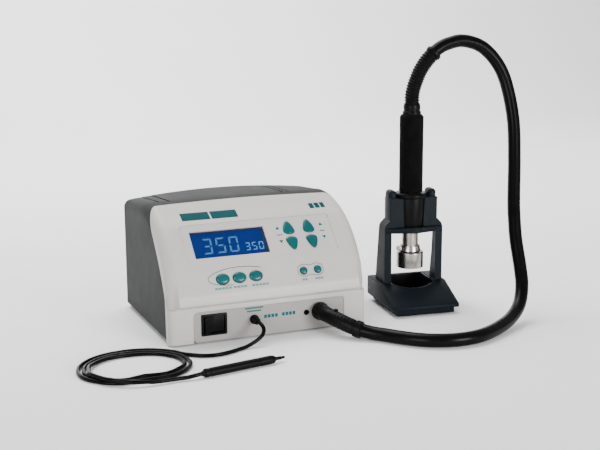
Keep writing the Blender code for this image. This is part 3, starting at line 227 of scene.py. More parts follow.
def grown(outline, by):
    points = [Vector(p) for p in outline]
    moved = []
    for i, here in enumerate(points):
        along = (points[(i + 1) % len(points)] - points[i - 1]).normalized()
        moved.append(tuple(here + Vector((along.y, -along.x)) * by))
    return moved


def centred(x, y, width, height):
    return [(x - width / 2, y - height / 2), (x + width / 2, y - height / 2),
            (x + width / 2, y + height / 2), (x - width / 2, y + height / 2)]


def smooth_route(points, spacing, scale=MM):
    """Points a spacing apart on the smooth curve through a given route."""
    route = [Vector(p) * scale for p in points]
    padded = [2 * route[0] - route[1], *route, 2 * route[-1] - route[-2]]
    fine = []
    for a, b, c, d in zip(padded, padded[1:], padded[2:], padded[3:]):
        for k in range(24):
            t = k / 24
            fine.append(0.5 * (2 * b + (c - a) * t + (2 * a - 5 * b + 4 * c - d) * t * t
                               + (3 * b - a - 3 * c + d) * t ** 3))
    fine.append(route[-1])
    length = sum((q - p).length for p, q in zip(fine, fine[1:]))
    count = max(2, round(length / spacing))
    walked, spaced, target = 0.0, [fine[0]], length / count
    for p, q in zip(fine, fine[1:]):
        step = (q - p).length
        while walked + step >= target - 1e-9 and len(spaced) < count:
            spaced.append(p.lerp(q, (target - walked) / step))
            target += length / count
        walked += step
    return [*spaced, fine[-1]]


def route_length(points):
    return sum((q - p).length for p, q in zip(points, points[1:]))


def sweep(points, radii, sides=20, capped=True):
    """A tube along points, its radius given at each, with frames carried along so that it doesn't twist."""
    tangents = []
    for i in range(len(points)):
        a, b = points[max(i - 1, 0)], points[min(i + 1, len(points) - 1)]
        tangents.append((b - a).normalized())
    normal = tangents[0].orthogonal().normalized()
    rings = []
    for here, along, radius in zip(points, tangents, radii):
        normal = (normal - along * normal.dot(along)).normalized()
        side = along.cross(normal)
        rings.append([here + (normal * math.cos(a) + side * math.sin(a)) * radius
                      for a in [2 * math.pi * k / sides for k in range(sides)]])
    return loft(rings, capped=capped)


def make(name, bm, look=None, at=UNIT, smooth=35):
    """A new object from bm, put in place by the matrix. Without a look it is a hidden cutter."""
    bmesh.ops.recalc_face_normals(bm, faces=bm.faces)
    bm.transform(at)
    mesh = bpy.data.meshes.new(name)
    bm.to_mesh(mesh)
    bm.free()
    made = bpy.data.objects.new(name, mesh)
    bpy.context.scene.collection.objects.link(made)
    if look is None:
        made.hide_render = True
        made.hide_viewport = True
    else:
        mesh.materials.append(LOOKS[look])
        mesh.shade_smooth()
        mesh.set_sharp_from_angle(angle=math.radians(smooth))
    return made


def settle(made, body, replaces=(), smooth=35):
    """Applies a piece's modifiers, lets it ride on its body and hides the CAD parts it replaces."""
    if made.modifiers:
        graph = bpy.context.evaluated_depsgraph_get()
        mesh = bpy.data.meshes.new_from_object(made.evaluated_get(graph))
        made.modifiers.clear()
        made.data = mesh
        mesh.shade_smooth()
        mesh.set_sharp_from_angle(angle=math.radians(smooth))
    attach(made, body)
    if replaces:
        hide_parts(*replaces)
    return made


def piece(name, bm, look, body, replaces=(), at=UNIT, smooth=35):
    """A whole visible piece, made with its look and settled on its body."""
    return settle(make(name, bm, look, at, smooth), body, replaces)


def add_bevel(target, width, segments, angle):
    bevel = target.modifiers.new("edges", "BEVEL")
    bevel.width, bevel.segments = width, segments
    bevel.limit_method, bevel.angle_limit = "ANGLE", math.radians(angle)


def cut(target, bm, operation="DIFFERENCE", at=UNIT, bevel=None):
    """Cuts bm from target, or unites or intersects them."""
    helper = make("helper", bm, None, at)
    if bevel:
        add_bevel(helper, *bevel)
    modifier = target.modifiers.new(operation.lower(), "BOOLEAN")
    modifier.operation = operation
    modifier.solver = "EXACT"
    modifier.use_self = bevel is None
    modifier.object = helper
    return target


def turn(*angles):
    return Euler(angles).to_matrix().to_4x4()


def joined(parts):
    """Several bmeshes as one, side by side."""
    whole = bmesh.new()
    for part in parts:
        bmesh.ops.recalc_face_normals(part, faces=part.faces)
        mesh = bpy.data.meshes.new("part")
        part.to_mesh(mesh)
        part.free()
        whole.from_mesh(mesh)
        bpy.data.meshes.remove(mesh)
    return whole


# ---------------------------------------------------------------- materials

class Look:
    """A Principled material under construction, in object coordinates."""

    def __init__(self, name, colour, roughness, metallic=0.0):
        self.material = bpy.data.materials.new(name)
        self.material.use_nodes = True
        self.material.diffuse_color = (*colour, 1)
        self.tree = self.material.node_tree
        self.shader = self.tree.nodes["Principled BSDF"]
        self.colour = colour
        self.shader.inputs["Base Color"].default_value = (*colour, 1)
        self.shader.inputs["Roughness"].default_value = roughness
        self.shader.inputs["Metallic"].default_value = metallic
        self.coords = self.tree.nodes.new("ShaderNodeTexCoord")
        self.normal = None

    def node(self, kind, **values):
        made = self.tree.nodes.new(kind)
        for key, value in values.items():
            if key in made.inputs:
                made.inputs[key].default_value = value
            else:
                setattr(made, key, value)
        return made

    def link(self, a, b):
        self.tree.links.new(a, b)

    def noise(self, scale, detail=3.0, stretch=(1, 1, 1)):
        """Noise with features about 1/scale metres across, stretched along an axis if asked."""
        mapping = self.node("ShaderNodeMapping")
        mapping.inputs["Scale"].default_value = stretch
        made = self.node("ShaderNodeTexNoise", Scale=scale, Detail=detail)
        self.link(self.coords.outputs["Object"], mapping.inputs["Vector"])
        self.link(mapping.outputs["Vector"], made.inputs["Vector"])
        return made.outputs["Fac"]

    def vary_colour(self, source, share, tint=None):
        """Blends between two tones of the base colour."""
        low = [c * (1 - share) for c in (tint or self.colour)]
        high = [min(1, c * (1 + share)) for c in self.colour]
        ramp = self.node("ShaderNodeValToRGB")
        ramp.color_ramp.elements[0].position, ramp.color_ramp.elements[1].position = 0.3, 0.7
        ramp.color_ramp.elements[0].color = (*low, 1)
        ramp.color_ramp.elements[1].color = (*high, 1)
        self.link(source, ramp.inputs["Fac"])
        self.link(ramp.outputs["Color"], self.shader.inputs["Base Color"])
        return self

    def vary_roughness(self, source, low, high):
        spread = self.node("ShaderNodeMapRange")
        spread.inputs["To Min"].default_value = low
        spread.inputs["To Max"].default_value = high
        self.link(source, spread.inputs["Value"])
        self.link(spread.outputs["Result"], self.shader.inputs["Roughness"])
        return self

    def edges(self, radius):
        """Softens hard edges in the shading, as a mould's small radius does."""
        bevel = self.node("ShaderNodeBevel", samples=4)
        bevel.inputs["Radius"].default_value = radius
        self.normal = bevel.outputs["Normal"]
        self.link(self.normal, self.shader.inputs["Normal"])
        return self

    def bump(self, source, height, strength=1.0):
        bump = self.node("ShaderNodeBump", Strength=strength, Distance=height)
        self.link(source, bump.inputs["Height"])
        if self.normal:
            self.link(self.normal, bump.inputs["Normal"])
        self.normal = bump.outputs["Normal"]
        self.link(self.normal, self.shader.inputs["Normal"])
        return self

    def set(self, **values):
        for key, value in values.items():
            self.shader.inputs[key.replace("_", " ")].default_value = value
        return self


def surface(name, colour, metallic, edge, tone, share, gloss, spread, grain=None, height=0.0, tint=None,
            **settings):
    """A look with noise in its tone, its gloss and its grain, and a roughness spread from low to high."""
    look = Look(name, colour, sum(spread) / 2, metallic)
    if edge:
        look.edges(edge)
    look.vary_colour(look.noise(*tone), share, tint)
    look.vary_roughness(look.noise(*gloss), *spread)
    if grain:
        look.bump(look.noise(*grain), height)
    look.set(**settings)
    return look.material


def moulded(name, colour, low, high, grain=900, height=0.00004, edge=0.0005, share=0.05, sheen=0.2):
    """Moulded plastic: a fine spark-eroded grain, soft edges and slightly uneven sheen."""
    return surface(name, colour, 0, edge, (14, 4), share, (45, 5), (low, high), (grain, 2), height,
                   Specular_IOR_Level=sheen)


def printed(name, colour, low=0.45):
    """Print or an engraved line: thin, flat and matt."""
    return moulded(name, colour, low, 0.6, height=0.00001, edge=0.0001, share=0.1, sheen=0.05)


def foam_look():
    foam = Look("foam_sleeve", (0.002, 0.002, 0.002), 0.85)
    cells = foam.node("ShaderNodeTexVoronoi", Scale=1500)
    foam.link(foam.coords.outputs["Object"], cells.inputs["Vector"])
    foam.vary_colour(foam.noise(120, 5), 0.35)
    foam.vary_roughness(foam.noise(200, 2), 0.74, 0.92)
    foam.bump(cells.outputs["Distance"], 0.0002, 0.6)
    return foam.set(Specular_IOR_Level=0.04, Sheen_Weight=0.02, Sheen_Roughness=0.5).material


def board_look():
    board = Look("solder_mask", (0.012, 0.11, 0.035), 0.35)
    board.edges(0.0002)
    traces = board.node("ShaderNodeTexVoronoi", Scale=260, distance="MANHATTAN")
    board.link(board.coords.outputs["Object"], traces.inputs["Vector"])
    board.vary_colour(traces.outputs["Distance"], 0.3)
    board.vary_roughness(board.noise(80, 3), 0.28, 0.45)
    return board.bump(traces.outputs["Distance"], 0.00004).material


def window_look():
    glass = Look("display_window", (0.01, 0.03, 0.12), 0.06)
    glass.vary_roughness(glass.noise(40, 3), 0.04, 0.1)
    glass.bump(glass.noise(400, 2), 0.000005)
    return glass.set(Alpha=0.1).material


def digit_look(name, glow):
    return surface(name, (0.03, 0.11, 0.22), 0, 0, (60, 2), 0.1, (60, 2), (0.3, 0.45),
                   Emission_Color=(0.13, 0.42, 0.85, 1), Emission_Strength=glow)


def make_looks():
    return {
        "bezel": moulded("bezel_plastic", (0.44, 0.425, 0.405), 0.30, 0.42, height=0.00002, share=0.025,
                         sheen=0.3),
        "panel": moulded("panel_plastic", (0.27, 0.257, 0.247), 0.38, 0.5, height=0.00003, share=0.03),
        "cover": moulded("cover_plastic", (0.026, 0.0275, 0.027), 0.5, 0.66, grain=700, height=0.00008,
                         share=0.06,
                         sheen=0.07),
        "teal": moulded("teal_keys", (0.0, 0.075, 0.08), 0.16, 0.26, grain=1200, height=0.00001, share=0.08,
                        sheen=0.3),
        "title": printed("title_print", (0.0, 0.05, 0.055)),
        "print": printed("teal_print", (0.002, 0.09, 0.097)),
        "pale_print": printed("pale_print", (0.10, 0.21, 0.225)),
        "line": printed("engraved_line", (0.085, 0.083, 0.08), 0.5),
        "black": moulded("black_plastic", (0.0025, 0.0025, 0.0027), 0.28, 0.42, height=0.00003, share=0.15,
                         sheen=0.07),
        "slate": moulded("slate_plastic", (0.0042, 0.0068, 0.0096), 0.34, 0.5, grain=800, height=0.00006,
                         edge=0.0009, share=0.08, sheen=0.07),
        "enamel": moulded("black_enamel", (0.004, 0.004, 0.0045), 0.12, 0.26, grain=500, height=0.00001,
                          share=0.2,
                          sheen=0.3),
        "pen": moulded("pen_plastic", (0.0025, 0.0025, 0.0027), 0.3, 0.44, edge=0.0003, share=0.15,
                       sheen=0.07),
        "ceramic": moulded("ceramic", (0.72, 0.69, 0.62), 0.6, 0.8, height=0.0001, share=0.06),
        "lacquer": moulded("winding_lacquer", (0.35, 0.11, 0.03), 0.3, 0.5, height=0.0001, share=0.2),
        "tray": surface("painted_steel", (0.045, 0.046, 0.048), 0.2, 0.0004, (10, 4), 0.15, (60, 4),
                        (0.38, 0.55),
                        (1500, 2), 0.00005),
        "hose": surface("glossy_hose", (0.002, 0.002, 0.0022), 0, 0, (30, 3), 0.2, (70, 4), (0.2, 0.32),
                        (260, 2),
                        0.00006, Specular_IOR_Level=0.07),
        "rubber": surface("black_rubber", (0.0025, 0.0025, 0.0027), 0, 0, (40, 4), 0.25, (90, 3),
                          (0.28, 0.44),
                          (1400, 2), 0.00006, Specular_IOR_Level=0.07),
        "foam": foam_look(),
        "steel": surface("turned_steel", (0.36, 0.34, 0.315), 1, 0.0003, (30, 4, (1, 1, 9)), 0.12,
                         (120, 3, (1, 1, 14)), (0.16, 0.32), (300, 2, (0.1, 0.1, 6)), 0.00002),
        "heater": surface("heat_tinted_steel", (0.34, 0.32, 0.29), 1, 0.0003, (40, 3, (1, 1, 2)), 0.1,
                          (150, 3, (1, 1, 8)), (0.22, 0.4), (300, 2), 0.00002, (0.30, 0.25, 0.19)),
        "cast": surface("cast_alloy", (0.36, 0.36, 0.37), 0.85, 0.0006, (60, 4), 0.12, (120, 3), (0.42, 0.62),
                        (700, 3), 0.0001),
        "board": board_look(),
        "window": window_look(),
        "lcd": surface("lit_display", (0.0008, 0.006, 0.05), 0, 0, (22, 2), 0.25, (60, 2), (0.3, 0.45),
                       (2500, 1),
                       0.000005, Emission_Color=(0.0, 0.03, 0.22, 1), Emission_Strength=0.6,
                       Specular_IOR_Level=0.03),
        "lcd_edge": surface("display_border", (0.002, 0.006, 0.035), 0, 0, (30, 2), 0.3, (60, 2),
                            (0.3, 0.45)),
        "dim_digit": digit_look("dim_digit", 0.26),
        "digit": digit_look("digit", 0.7),
        "backdrop": surface("backdrop", (0.93, 0.93, 0.93), 0, 0, (3, 2), 0.01, (5, 2), (0.85, 0.95)),
    }


LOOKS = make_looks()


# ---------------------------------------------------------------- cords

SLEEVE_ROUTE = [(61, -3, 24), (61.5, -12, 24), (65, -24, 22.4), (74, -38, 18), (86.5, -50, 12.2),
                (91.5, -54.5, 10.6)]
HOSE_GROUND = [(91, -54.2, 10.75), (97, -59.3, 9.4), (103, -65, 8.5), (113, -75.5, 8.1), (125, -91, 8.1),
               (141, -107, 8.1), (160, -118, 8.1), (183, -123, 8.1), (211, -119.5, 8.2), (246, -102, 9),
               (275, -83, 12.9), (296, -66.5, 23), (308, -52, 41), (312, -40, 63), (313.4, -27.5, 91),
               (316.4, -17.5, 116)]
HOSE_ARCH = [(320.5, -8.5, 138), (329.5, 7, 185), (334.4, 20, 233), (329.8, 31, 277), (319.3, 37.5, 303.5),
             (300.5, 44, 323.6), (277, 50, 331.2), (259, 53.8, 328), (248.4, 55.8, 323.4),
             (242, 56.75, 318.4)]
BOOT_ROUTE = [(211.8, 57.95, 256.6), (211.9, 57.95, 266), (213.6, 58, 274), (217, 58.1, 283.5),
              (222.8, 58, 296),
              (231.2, 57.6, 307.8), (238.3, 56.97, 314.9)]
RING_ROUTE = [(238.3, 56.97, 314.88), (240.1, 56.85, 316.6), (242, 56.75, 318.3)]
VACUUM_LEAD = [(-20.6, -13, 22.6), (-19.6, -19, 22), (-18.6, -25.5, 18.2), (-22, -30.5, 12.4),
               (-31, -33, 7), (-42.5, -36, 3.2), (-55, -41, 2.5), (-70, -47, 2.5), (-84, -49.4, 2.5),
               (-97, -46.6, 2.5), (-106, -40.8, 2.5)]
VACUUM_TAIL = [(-138.5, -110.9, 3.3), (-130, -111.9, 4.4), (-121, -110.47, 4.9)]
COIL_X, COIL_Y = -175.5, -54
COIL_ROUTE = [(22, 0.99, 2.5), (55, 0.97, 2.5), (90, 0.96, 2.5), (150, 0.96, 2.5), (190, 0.96, 2.5),
              (225, 0.91, 2.5),
              (270, 0.75, 2.5), (315, 0.86, 2.5), (350, 0.9, 2.5), (385, 0.88, 2.5), (450, 0.83, 2.5),
              (510, 0.86, 2.5), (545, 0.87, 2.5), (590, 0.75, 2.5), (630, 0.54, 2.5), (675, 0.7, 2.5),
              (710, 0.8, 2.5), (745, 0.79, 2.5), (810, 0.72, 2.5), (860, 0.75, 3.2), (895, 0.79, 5.6),
              (925, 0.88, 7), (952, 0.94, 7), (980, 0.965, 5), (1003, 0.99, 3.2)]  # degrees, share, height


def bench_points(route, spacing):
    return [BENCH @ p for p in smooth_route(route, spacing)]


def build_hose():
    """The air hose, from the sleeve's end ring to the boot's end ring."""
    points = bench_points([*HOSE_GROUND, *HOSE_ARCH], 5 * MM)
    hose = make("air_hose", sweep(points, [8 * MM] * len(points), 32), "hose", WORLD)
    hose.data.set_sharp_from_angle(angle=math.radians(60))
    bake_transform(hose)
    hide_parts("hose_lower", "hose_upper")


def coil_turns():
    """Nearly three loose turns on the bench, in millimetres, from the end of the lead to the tail."""
    turns = []
    for (a, share_a, z_a), (b, share_b, z_b) in zip(COIL_ROUTE, COIL_ROUTE[1:]):
        for k in range(3):
            t = k / 3
            ease = t * t * (3 - 2 * t)
            angle = math.radians(a + (b - a) * t)
            share = share_a + (share_b - share_a) * ease
            turns.append((COIL_X + 64.9 * share * math.cos(angle), COIL_Y + 59 * share * math.sin(angle),
                          z_a + (z_b - z_a) * ease))
    return turns


def build_vacuum_hose():
    """The thin hose, from its socket through the loose coil to the pen."""
    turns = coil_turns()
    route = [*VACUUM_LEAD, *turns, *VACUUM_TAIL]
    points = bench_points(route, 3.2 * MM)
    hose = make("vacuum_hose", sweep(points, [2.3 * MM] * len(points), 16), "hose", WORLD)
    hose.data.set_sharp_from_angle(angle=math.radians(60))
    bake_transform(hose)
    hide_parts("vacuum_hose_lead", "vacuum_hose_coil", "vacuum_hose_tail")


build_hose()
build_vacuum_hose()


# ---------------------------------------------------------------- the unit's shell

def superellipse(share, power):
    return 1 - max(0.0, 1 - share ** power) ** (1 / power)


def envelope_profile(steps):
    """The side outline from the front foot over the roof to the back, as (y, z, edge radius, edge power, crown,
    brow, inward direction)."""
    inward, outward = Vector((1, 0)), Vector((-1, 0))
    rise = BROW_Z - BROW_FOOT_Z
    points = [(0, z, 7 * MM, 2, 0, 0, inward) for z in (0, 0.5 * BROW_FOOT_Z, BROW_FOOT_Z - 0.6 * MM)]
    brow = [(-0.02, 0.0), (-0.12, 0.07), (-0.44, 0.2), (-0.8, 0.36), (-0.95, 0.47), (-1.0, 0.6),
            (-0.98, 0.76),
            (-0.93, 1.0), (-0.88, 1.3), (-0.83, 1.62)]
    points += [(0, BROW_FOOT_Z + rise * z, 11 * MM, 1.4, 0, BROW_OUT * y, inward) for y, z in brow]
    low = math.asin((FACE_LOW_Z - FACE_CENTRE_Z) / FACE_RADIUS)
    start = Vector((0, BROW_FOOT_Z + rise * brow[-1][1]))
    end = Vector((FACE_CENTRE_Y - FACE_RADIUS * math.cos(low), FACE_LOW_Z))
    for k in (1, 2, 3):
        here = start.lerp(end, k / 4)
        turn = inward.lerp(Vector((math.cos(low), -math.sin(low))), k / 4).normalized()
        points.append((here.x, here.y, 11 * MM, 1.4, 0, BROW_OUT * brow[-1][0] * (1 - k / 4), turn))
    for k in range(steps + 1):
        share = k / steps
        angle = low + (math.pi / 2 - low) * share
        away = Vector((-math.cos(angle), math.sin(angle)))
        points.append((FACE_CENTRE_Y + FACE_RADIUS * away.x,
                       FACE_CENTRE_Z + FACE_RADIUS * away.y + ROOF_LIFT * share ** 2,
                       (11 + 4 * share) * MM, 1.4 + 0.6 * share, FRONT_CROWN * share ** 2, 0, -away))
    corner = 9 * MM
    for k in range(9):
        angle = math.pi / 2 * k / 8
        away = Vector((math.sin(angle), math.cos(angle)))
        points.append((DEPTH - corner + corner * away.x, ROOF_Z - ROOF_FALL - corner + corner * away.y,
                       0.9 * corner,
                       2, CROWN, 0, -away))
    points += [(DEPTH, 0.5 * ROOF_Z, 0.9 * corner, 2, 0.3 * CROWN, 0, outward),
               (DEPTH, 0, 0.9 * corner, 2, 0, 0, outward)]
    return points


def roof_z(x, y):
    share = (y - FACE_CENTRE_Y) / (DEPTH - 9 * MM - FACE_CENTRE_Y)
    return ROOF_Z - ROOF_FALL * share - (FRONT_CROWN + (CROWN - FRONT_CROWN) * share) * (2 * x / WIDTH) ** 2


def envelope(inset=0.0, steps=44, edge_steps=12):
    """The unit's outer body, or what is left of it inside walls of thickness inset."""
    half = WIDTH / 2 - inset
    edges = [half - 15 * MM * (1 - math.sin(math.pi / 2 * k / edge_steps)) for k in range(edge_steps + 1)]
    flats = [edges[0] * s / 6 for s in range(-5, 6)]
    rings = []
    profile = envelope_profile(steps)
    for x in [-x for x in reversed(edges)] + flats + edges:
        ring = []
        fade = min(1.0, max(0.0, (half - abs(x) - 7.5 * MM) / (3.3 * MM)))
        for y, z, radius, power, crown, brow, direction in profile:
            edge = max(radius - inset, inset)
            over = max(0.0, abs(x) - (half - edge))
            draw = inset + edge * superellipse(over / edge, power)
            fall = crown * (2 * x / WIDTH) ** 2
            ring.append((x, y + brow * fade + direction.x * draw, z + direction.y * draw - fall))
        rings.append(ring)
    bm = loft(rings)
    bmesh.ops.triangulate(bm, faces=bm.faces[:])
    return bm


def seam_line(shift=0.0):
    start, end = Vector((13 * MM, -20 * MM)), Vector((15 * MM, BROW_Z))
    first = end + Vector((3.1 * MM, 0.15 * (ROOF_Z - BROW_Z)))
    second = Vector((0.66 * FACE_CENTRE_Y, ROOF_Z + 9.8 * MM))
    finish = Vector((1.07 * FACE_CENTRE_Y, ROOF_Z + 1.5 * MM))
    points = [start]
    for k in range(31):
        t = k / 30
        points.append((1 - t) ** 3 * end + 3 * t * (1 - t) ** 2 * first + 3 * t * t * (1 - t) * second
                      + t ** 3 * finish)
    points.append(finish + Vector((0, 40 * MM)))
    return [(p.x + shift, p.y) for p in points]


def front_region(shift):
    line = seam_line(shift)
    return slab([(-60 * MM, line[0][1]), *line, (-60 * MM, line[-1][1])], -WIDTH, WIDTH, "X")


def face_y(z):
    return FACE_CENTRE_Y - math.sqrt(FACE_RADIUS ** 2 - (z - FACE_CENTRE_Z) ** 2)


def field_matrix():
    out = FACE_RADIUS - FIELD_DEPTH
    y = FACE_CENTRE_Y - out * math.sin(math.pi / 4)
    z = FACE_CENTRE_Z + out * math.cos(math.pi / 4)
    return UNIT @ Matrix.Translation((0, y, z)) @ Matrix.Rotation(math.pi / 4, 4, "X")


FIELD = field_matrix()
ROW = (UNIT @ Matrix.Translation((0, face_y(BUTTON_Z) - 1.5 * MM, BUTTON_Z))
       @ Matrix.Rotation(math.radians(66), 4, "X"))


KEY_SHAPE = ((0, -0.5), (0.42, -0.4), (0.515, -0.23), (0.39, 0.13), (0.18, 0.41), (0, 0.5))


def key_outline(upright):
    """A plump triangle with round corners, pointing up the slope or down it."""
    half = [Vector((13.4 * MM * x, 18.5 * MM * y)) for x, y in KEY_SHAPE]
    ring = half + [Vector((-p.x, p.y)) for p in reversed(half[1:-1])]
    sign = 1 if upright else -1
    outline = []
    for i, b in enumerate(ring):
        a, c, d = ring[i - 1], ring[(i + 1) % len(ring)], ring[(i + 2) % len(ring)]
        for k in range(5):
            t = k / 5
            point = 0.5 * (2 * b + (c - a) * t + (2 * a - 5 * b + 4 * c - d) * t * t
                           + (3 * b - a - 3 * c + d) * t ** 3)
            outline.append((sign * point.x, sign * point.y))
    return outline


def field_controls():
    keys = []
    for side, x in zip(("heat", "air"), KEY_X):
        keys.append((f"key_{side}_up", key_outline(True), (x, KEY_UP)))
        keys.append((f"key_{side}_down", key_outline(False), (x, -KEY_UP)))
    return keys


def row_controls():
    ovals = [(f"button_{name}", oval(16.2 * MM, 12.6 * MM), (x, 0))
             for name, x in zip(("timer", "mode", "vacuum"), OVAL_X)]
    rounds = [(f"button_{name}", oval(9.2 * MM, 9.2 * MM), (x, 0)) for name,
              x in zip(("set", "lock"), ROUND_X)]
    return ovals + rounds


def holes(controls, low, high):
    return joined([slab([(px + x, py + y) for px, py in grown(outline, 0.35 * MM)], low, high)
                   for _, outline, (x, y) in controls])


def rear_outline(gap):
    half = WIDTH / 2 - 12 * MM - gap
    high, low = ROOF_Z - REAR_FALL - CROWN - 12 * MM - gap, 4.6 * MM + gap
    return rounded([(-half, low), (half, low), (half, high), (-half, high)], 8 * MM)


def build_bezel():
    bezel = make("bezel", envelope(), "bezel")
    cut(bezel, front_region(-0.15 * MM), "INTERSECT")
    inner = envelope(WALL, 20, 5)
    inner.transform(Matrix.Translation((0, 0, -0.5 * MM)))
    cut(bezel, inner)
    pocket = [(FIELD_LEFT, FIELD_BOTTOM), (FIELD_RIGHT, FIELD_BOTTOM), (FIELD_RIGHT, FIELD_TOP),
              (FIELD_LEFT, FIELD_TOP)]
    flat = math.sqrt(2 * FACE_RADIUS * FIELD_DEPTH) - 0.6 * MM
    backing = centred(0, 0, 1.02 * (FIELD_RIGHT - FIELD_LEFT), 2 * min(flat, FIELD_TOP))
    cut(bezel, slab(backing, -2.4 * MM, -0.05 * MM), "UNION", FIELD)
    cut(bezel, slab(rounded(pocket, 4 * MM), 0, 30 * MM), at=FIELD)
    for end, side in ((FIELD_LEFT, -1), (FIELD_RIGHT, 1)):
        scoop = [(end - side * 1 * MM, 0.02 * MM), (end + side * 12 * MM, 6 * MM),
                 (end - side * 1 * MM, 6 * MM)]
        length = [FIELD_BOTTOM + 6 * MM, FIELD_TOP - 4 * MM]
        cut(bezel, loft([[(x, y, z) for x, z in scoop] for y in length]), at=FIELD)
    cut(bezel, holes(field_controls(), -20 * MM, 20 * MM), at=FIELD)
    opening = rounded(centred(LCD_X, LCD_UP, LCD_WIDTH, LCD_HEIGHT), 1 * MM, 3)
    cut(bezel, slab(opening, -20 * MM, 20 * MM), at=FIELD)
    cut(bezel, holes(row_controls(), -12 * MM, 12 * MM), at=ROW)
    lower = mm([(-93.8, -20), (93.8, -20), (93.8, 36.5), (-93.8, 36.5)])
    cut(bezel, slab(rounded(lower, 5 * MM), -10 * MM, 10 * MM, "Y"))
    settle(bezel, "unit", ["front_bezel"], 28)


def build_cover():
    cover = make("cover", envelope(), "cover")
    cut(cover, front_region(0.15 * MM))
    inner = envelope(WALL, 20, 5)
    inner.transform(Matrix.Translation((0, 0, -0.5 * MM)))
    cut(cover, inner)
    cut(cover, block((-WIDTH, -DEPTH, -50 * MM), (WIDTH, 2 * DEPTH, 4.6 * MM)))
    cut(cover, slab(rear_outline(0), DEPTH - 20 * MM, DEPTH + 20 * MM, "Y"))
    for x in GROOVE_X:
        floor = [(y, roof_z(x, y) - 1.2 * MM) for y in (FACE_CENTRE_Y - 50 * MM, DEPTH + 10 * MM)]
        groove = [*floor, (floor[1][0], ROOF_Z + 20 * MM), (floor[0][0], ROOF_Z + 20 * MM)]
        cut(cover, slab(groove, x - 1.2 * MM, x + 1.2 * MM, "X"))
    settle(cover, "unit", ["rear_cover"], 28)


build_bezel()
build_cover()


# ---------------------------------------------------------------- controls

def dome(outline, low, high, crown):
    rings = [[(x, y, low) for x, y in outline], [(x, y, high - crown) for x, y in outline]]
    for k in range(1, 9):
        angle = math.pi / 2 * k / 8
        scale = 1 - 0.55 * (1 - math.cos(angle))
        rings.append([(x * scale, y * scale, high - crown * (1 - math.sin(angle))) for x, y in outline])
    return loft(rings)


def segment_digit(value, x, y, width, height, stroke, slant=0.08):
    """The lit strokes of a seven-segment figure, each an outline."""
    lit = {"3": "abgcd", "5": "afgcd", "0": "abcdef"}[value]
    gap = 0.25 * stroke
    w, h, s = width, height, stroke
    bars = {
        "a": [(gap, h), (w - gap, h), (w - gap - s, h - s), (gap + s, h - s)],
        "d": [(gap + s, s), (w - gap - s, s), (w - gap, 0), (gap, 0)],
        "g": [(s, h / 2), (1.5 * s, h / 2 + s / 2), (w - 1.5 * s, h / 2 + s / 2), (w - s, h / 2),
              (w - 1.5 * s, h / 2 - s / 2), (1.5 * s, h / 2 - s / 2)],
        "f": [(0, h - gap), (s, h - s - gap), (s, h / 2 + s), (0, h / 2 + gap)],
        "e": [(0, gap), (0, h / 2 - gap), (s, h / 2 - s), (s, s + gap)],
        "b": [(w, h - gap), (w, h / 2 + gap), (w - s, h / 2 + s), (w - s, h - s - gap)],
        "c": [(w, gap), (w - s, s + gap), (w - s, h / 2 - s), (w, h / 2 - gap)],
    }
    return [[(x + px + slant * py, y + py) for px, py in bars[name]] for name in lit]


def build_display():
    top = -2.3 * MM
    outline = centred(LCD_X, LCD_UP, LCD_WIDTH - 0.6 * MM, LCD_HEIGHT - 0.6 * MM)
    piece("display_module", slab(outline, top - 6 * MM, top), "lcd", "unit", ["lcd_module"], FIELD)
    left, right = LCD_X - LCD_WIDTH / 2, LCD_X + LCD_WIDTH / 2
    low, high = LCD_UP - LCD_HEIGHT / 2, LCD_UP + LCD_HEIGHT / 2
    band = 2.4 * MM
    frame_bars = [centred(LCD_X, high - band / 2 - 0.4 * MM, LCD_WIDTH - 1 * MM, band),
                  centred(right - 2 * MM, LCD_UP, 3.4 * MM, LCD_HEIGHT - 1 * MM)]
    piece("display_border", joined([slab(bar, top + 0.05 * MM, top + 0.1 * MM * (2 + i))
                                    for i, bar in enumerate(frame_bars)]), "lcd_edge", "unit",
          at=FIELD)
    large, small = [], []
    for i, value in enumerate("350"):
        large += segment_digit(value, left + (12 + i * 16.1) * MM, low + 6.2 * MM, 11.2 * MM, 21 * MM,
                               2.1 * MM)
        small += segment_digit(value, left + (63.3 + i * 8.4) * MM, low + 6.4 * MM, 5.8 * MM, 10.6 * MM,
                               1.25 * MM)
    for name, bars, look in (("large_figures", large, "dim_digit"), ("small_figures", small, "digit")):
        piece(name, joined([slab(bar, top + 0.1 * MM, top + 0.25 * MM) for bar in bars]), look, "unit",
              at=FIELD)
    window = rounded(centred(LCD_X, LCD_UP, LCD_WIDTH - 0.6 * MM, LCD_HEIGHT - 0.6 * MM), 0.8 * MM, 3)
    piece("display_window", slab(window, -2 * MM, -0.4 * MM), "window", "unit", ["lcd_window"], FIELD)


def build_keys():
    for name, outline, (x, y) in field_controls():
        piece(f"{name}_cap", dome(outline, -3.4 * MM, 1.8 * MM, 1.4 * MM), "teal", name, [name],
              FIELD @ Matrix.Translation((x, y, 0)), 50)
    for name, outline, (x, y) in row_controls():
        piece(f"{name}_cap", dome(outline, -5 * MM, 2 * MM, 2.6 * MM), "teal", name, [name],
              ROW @ Matrix.Translation((x, y, 0)), 50)


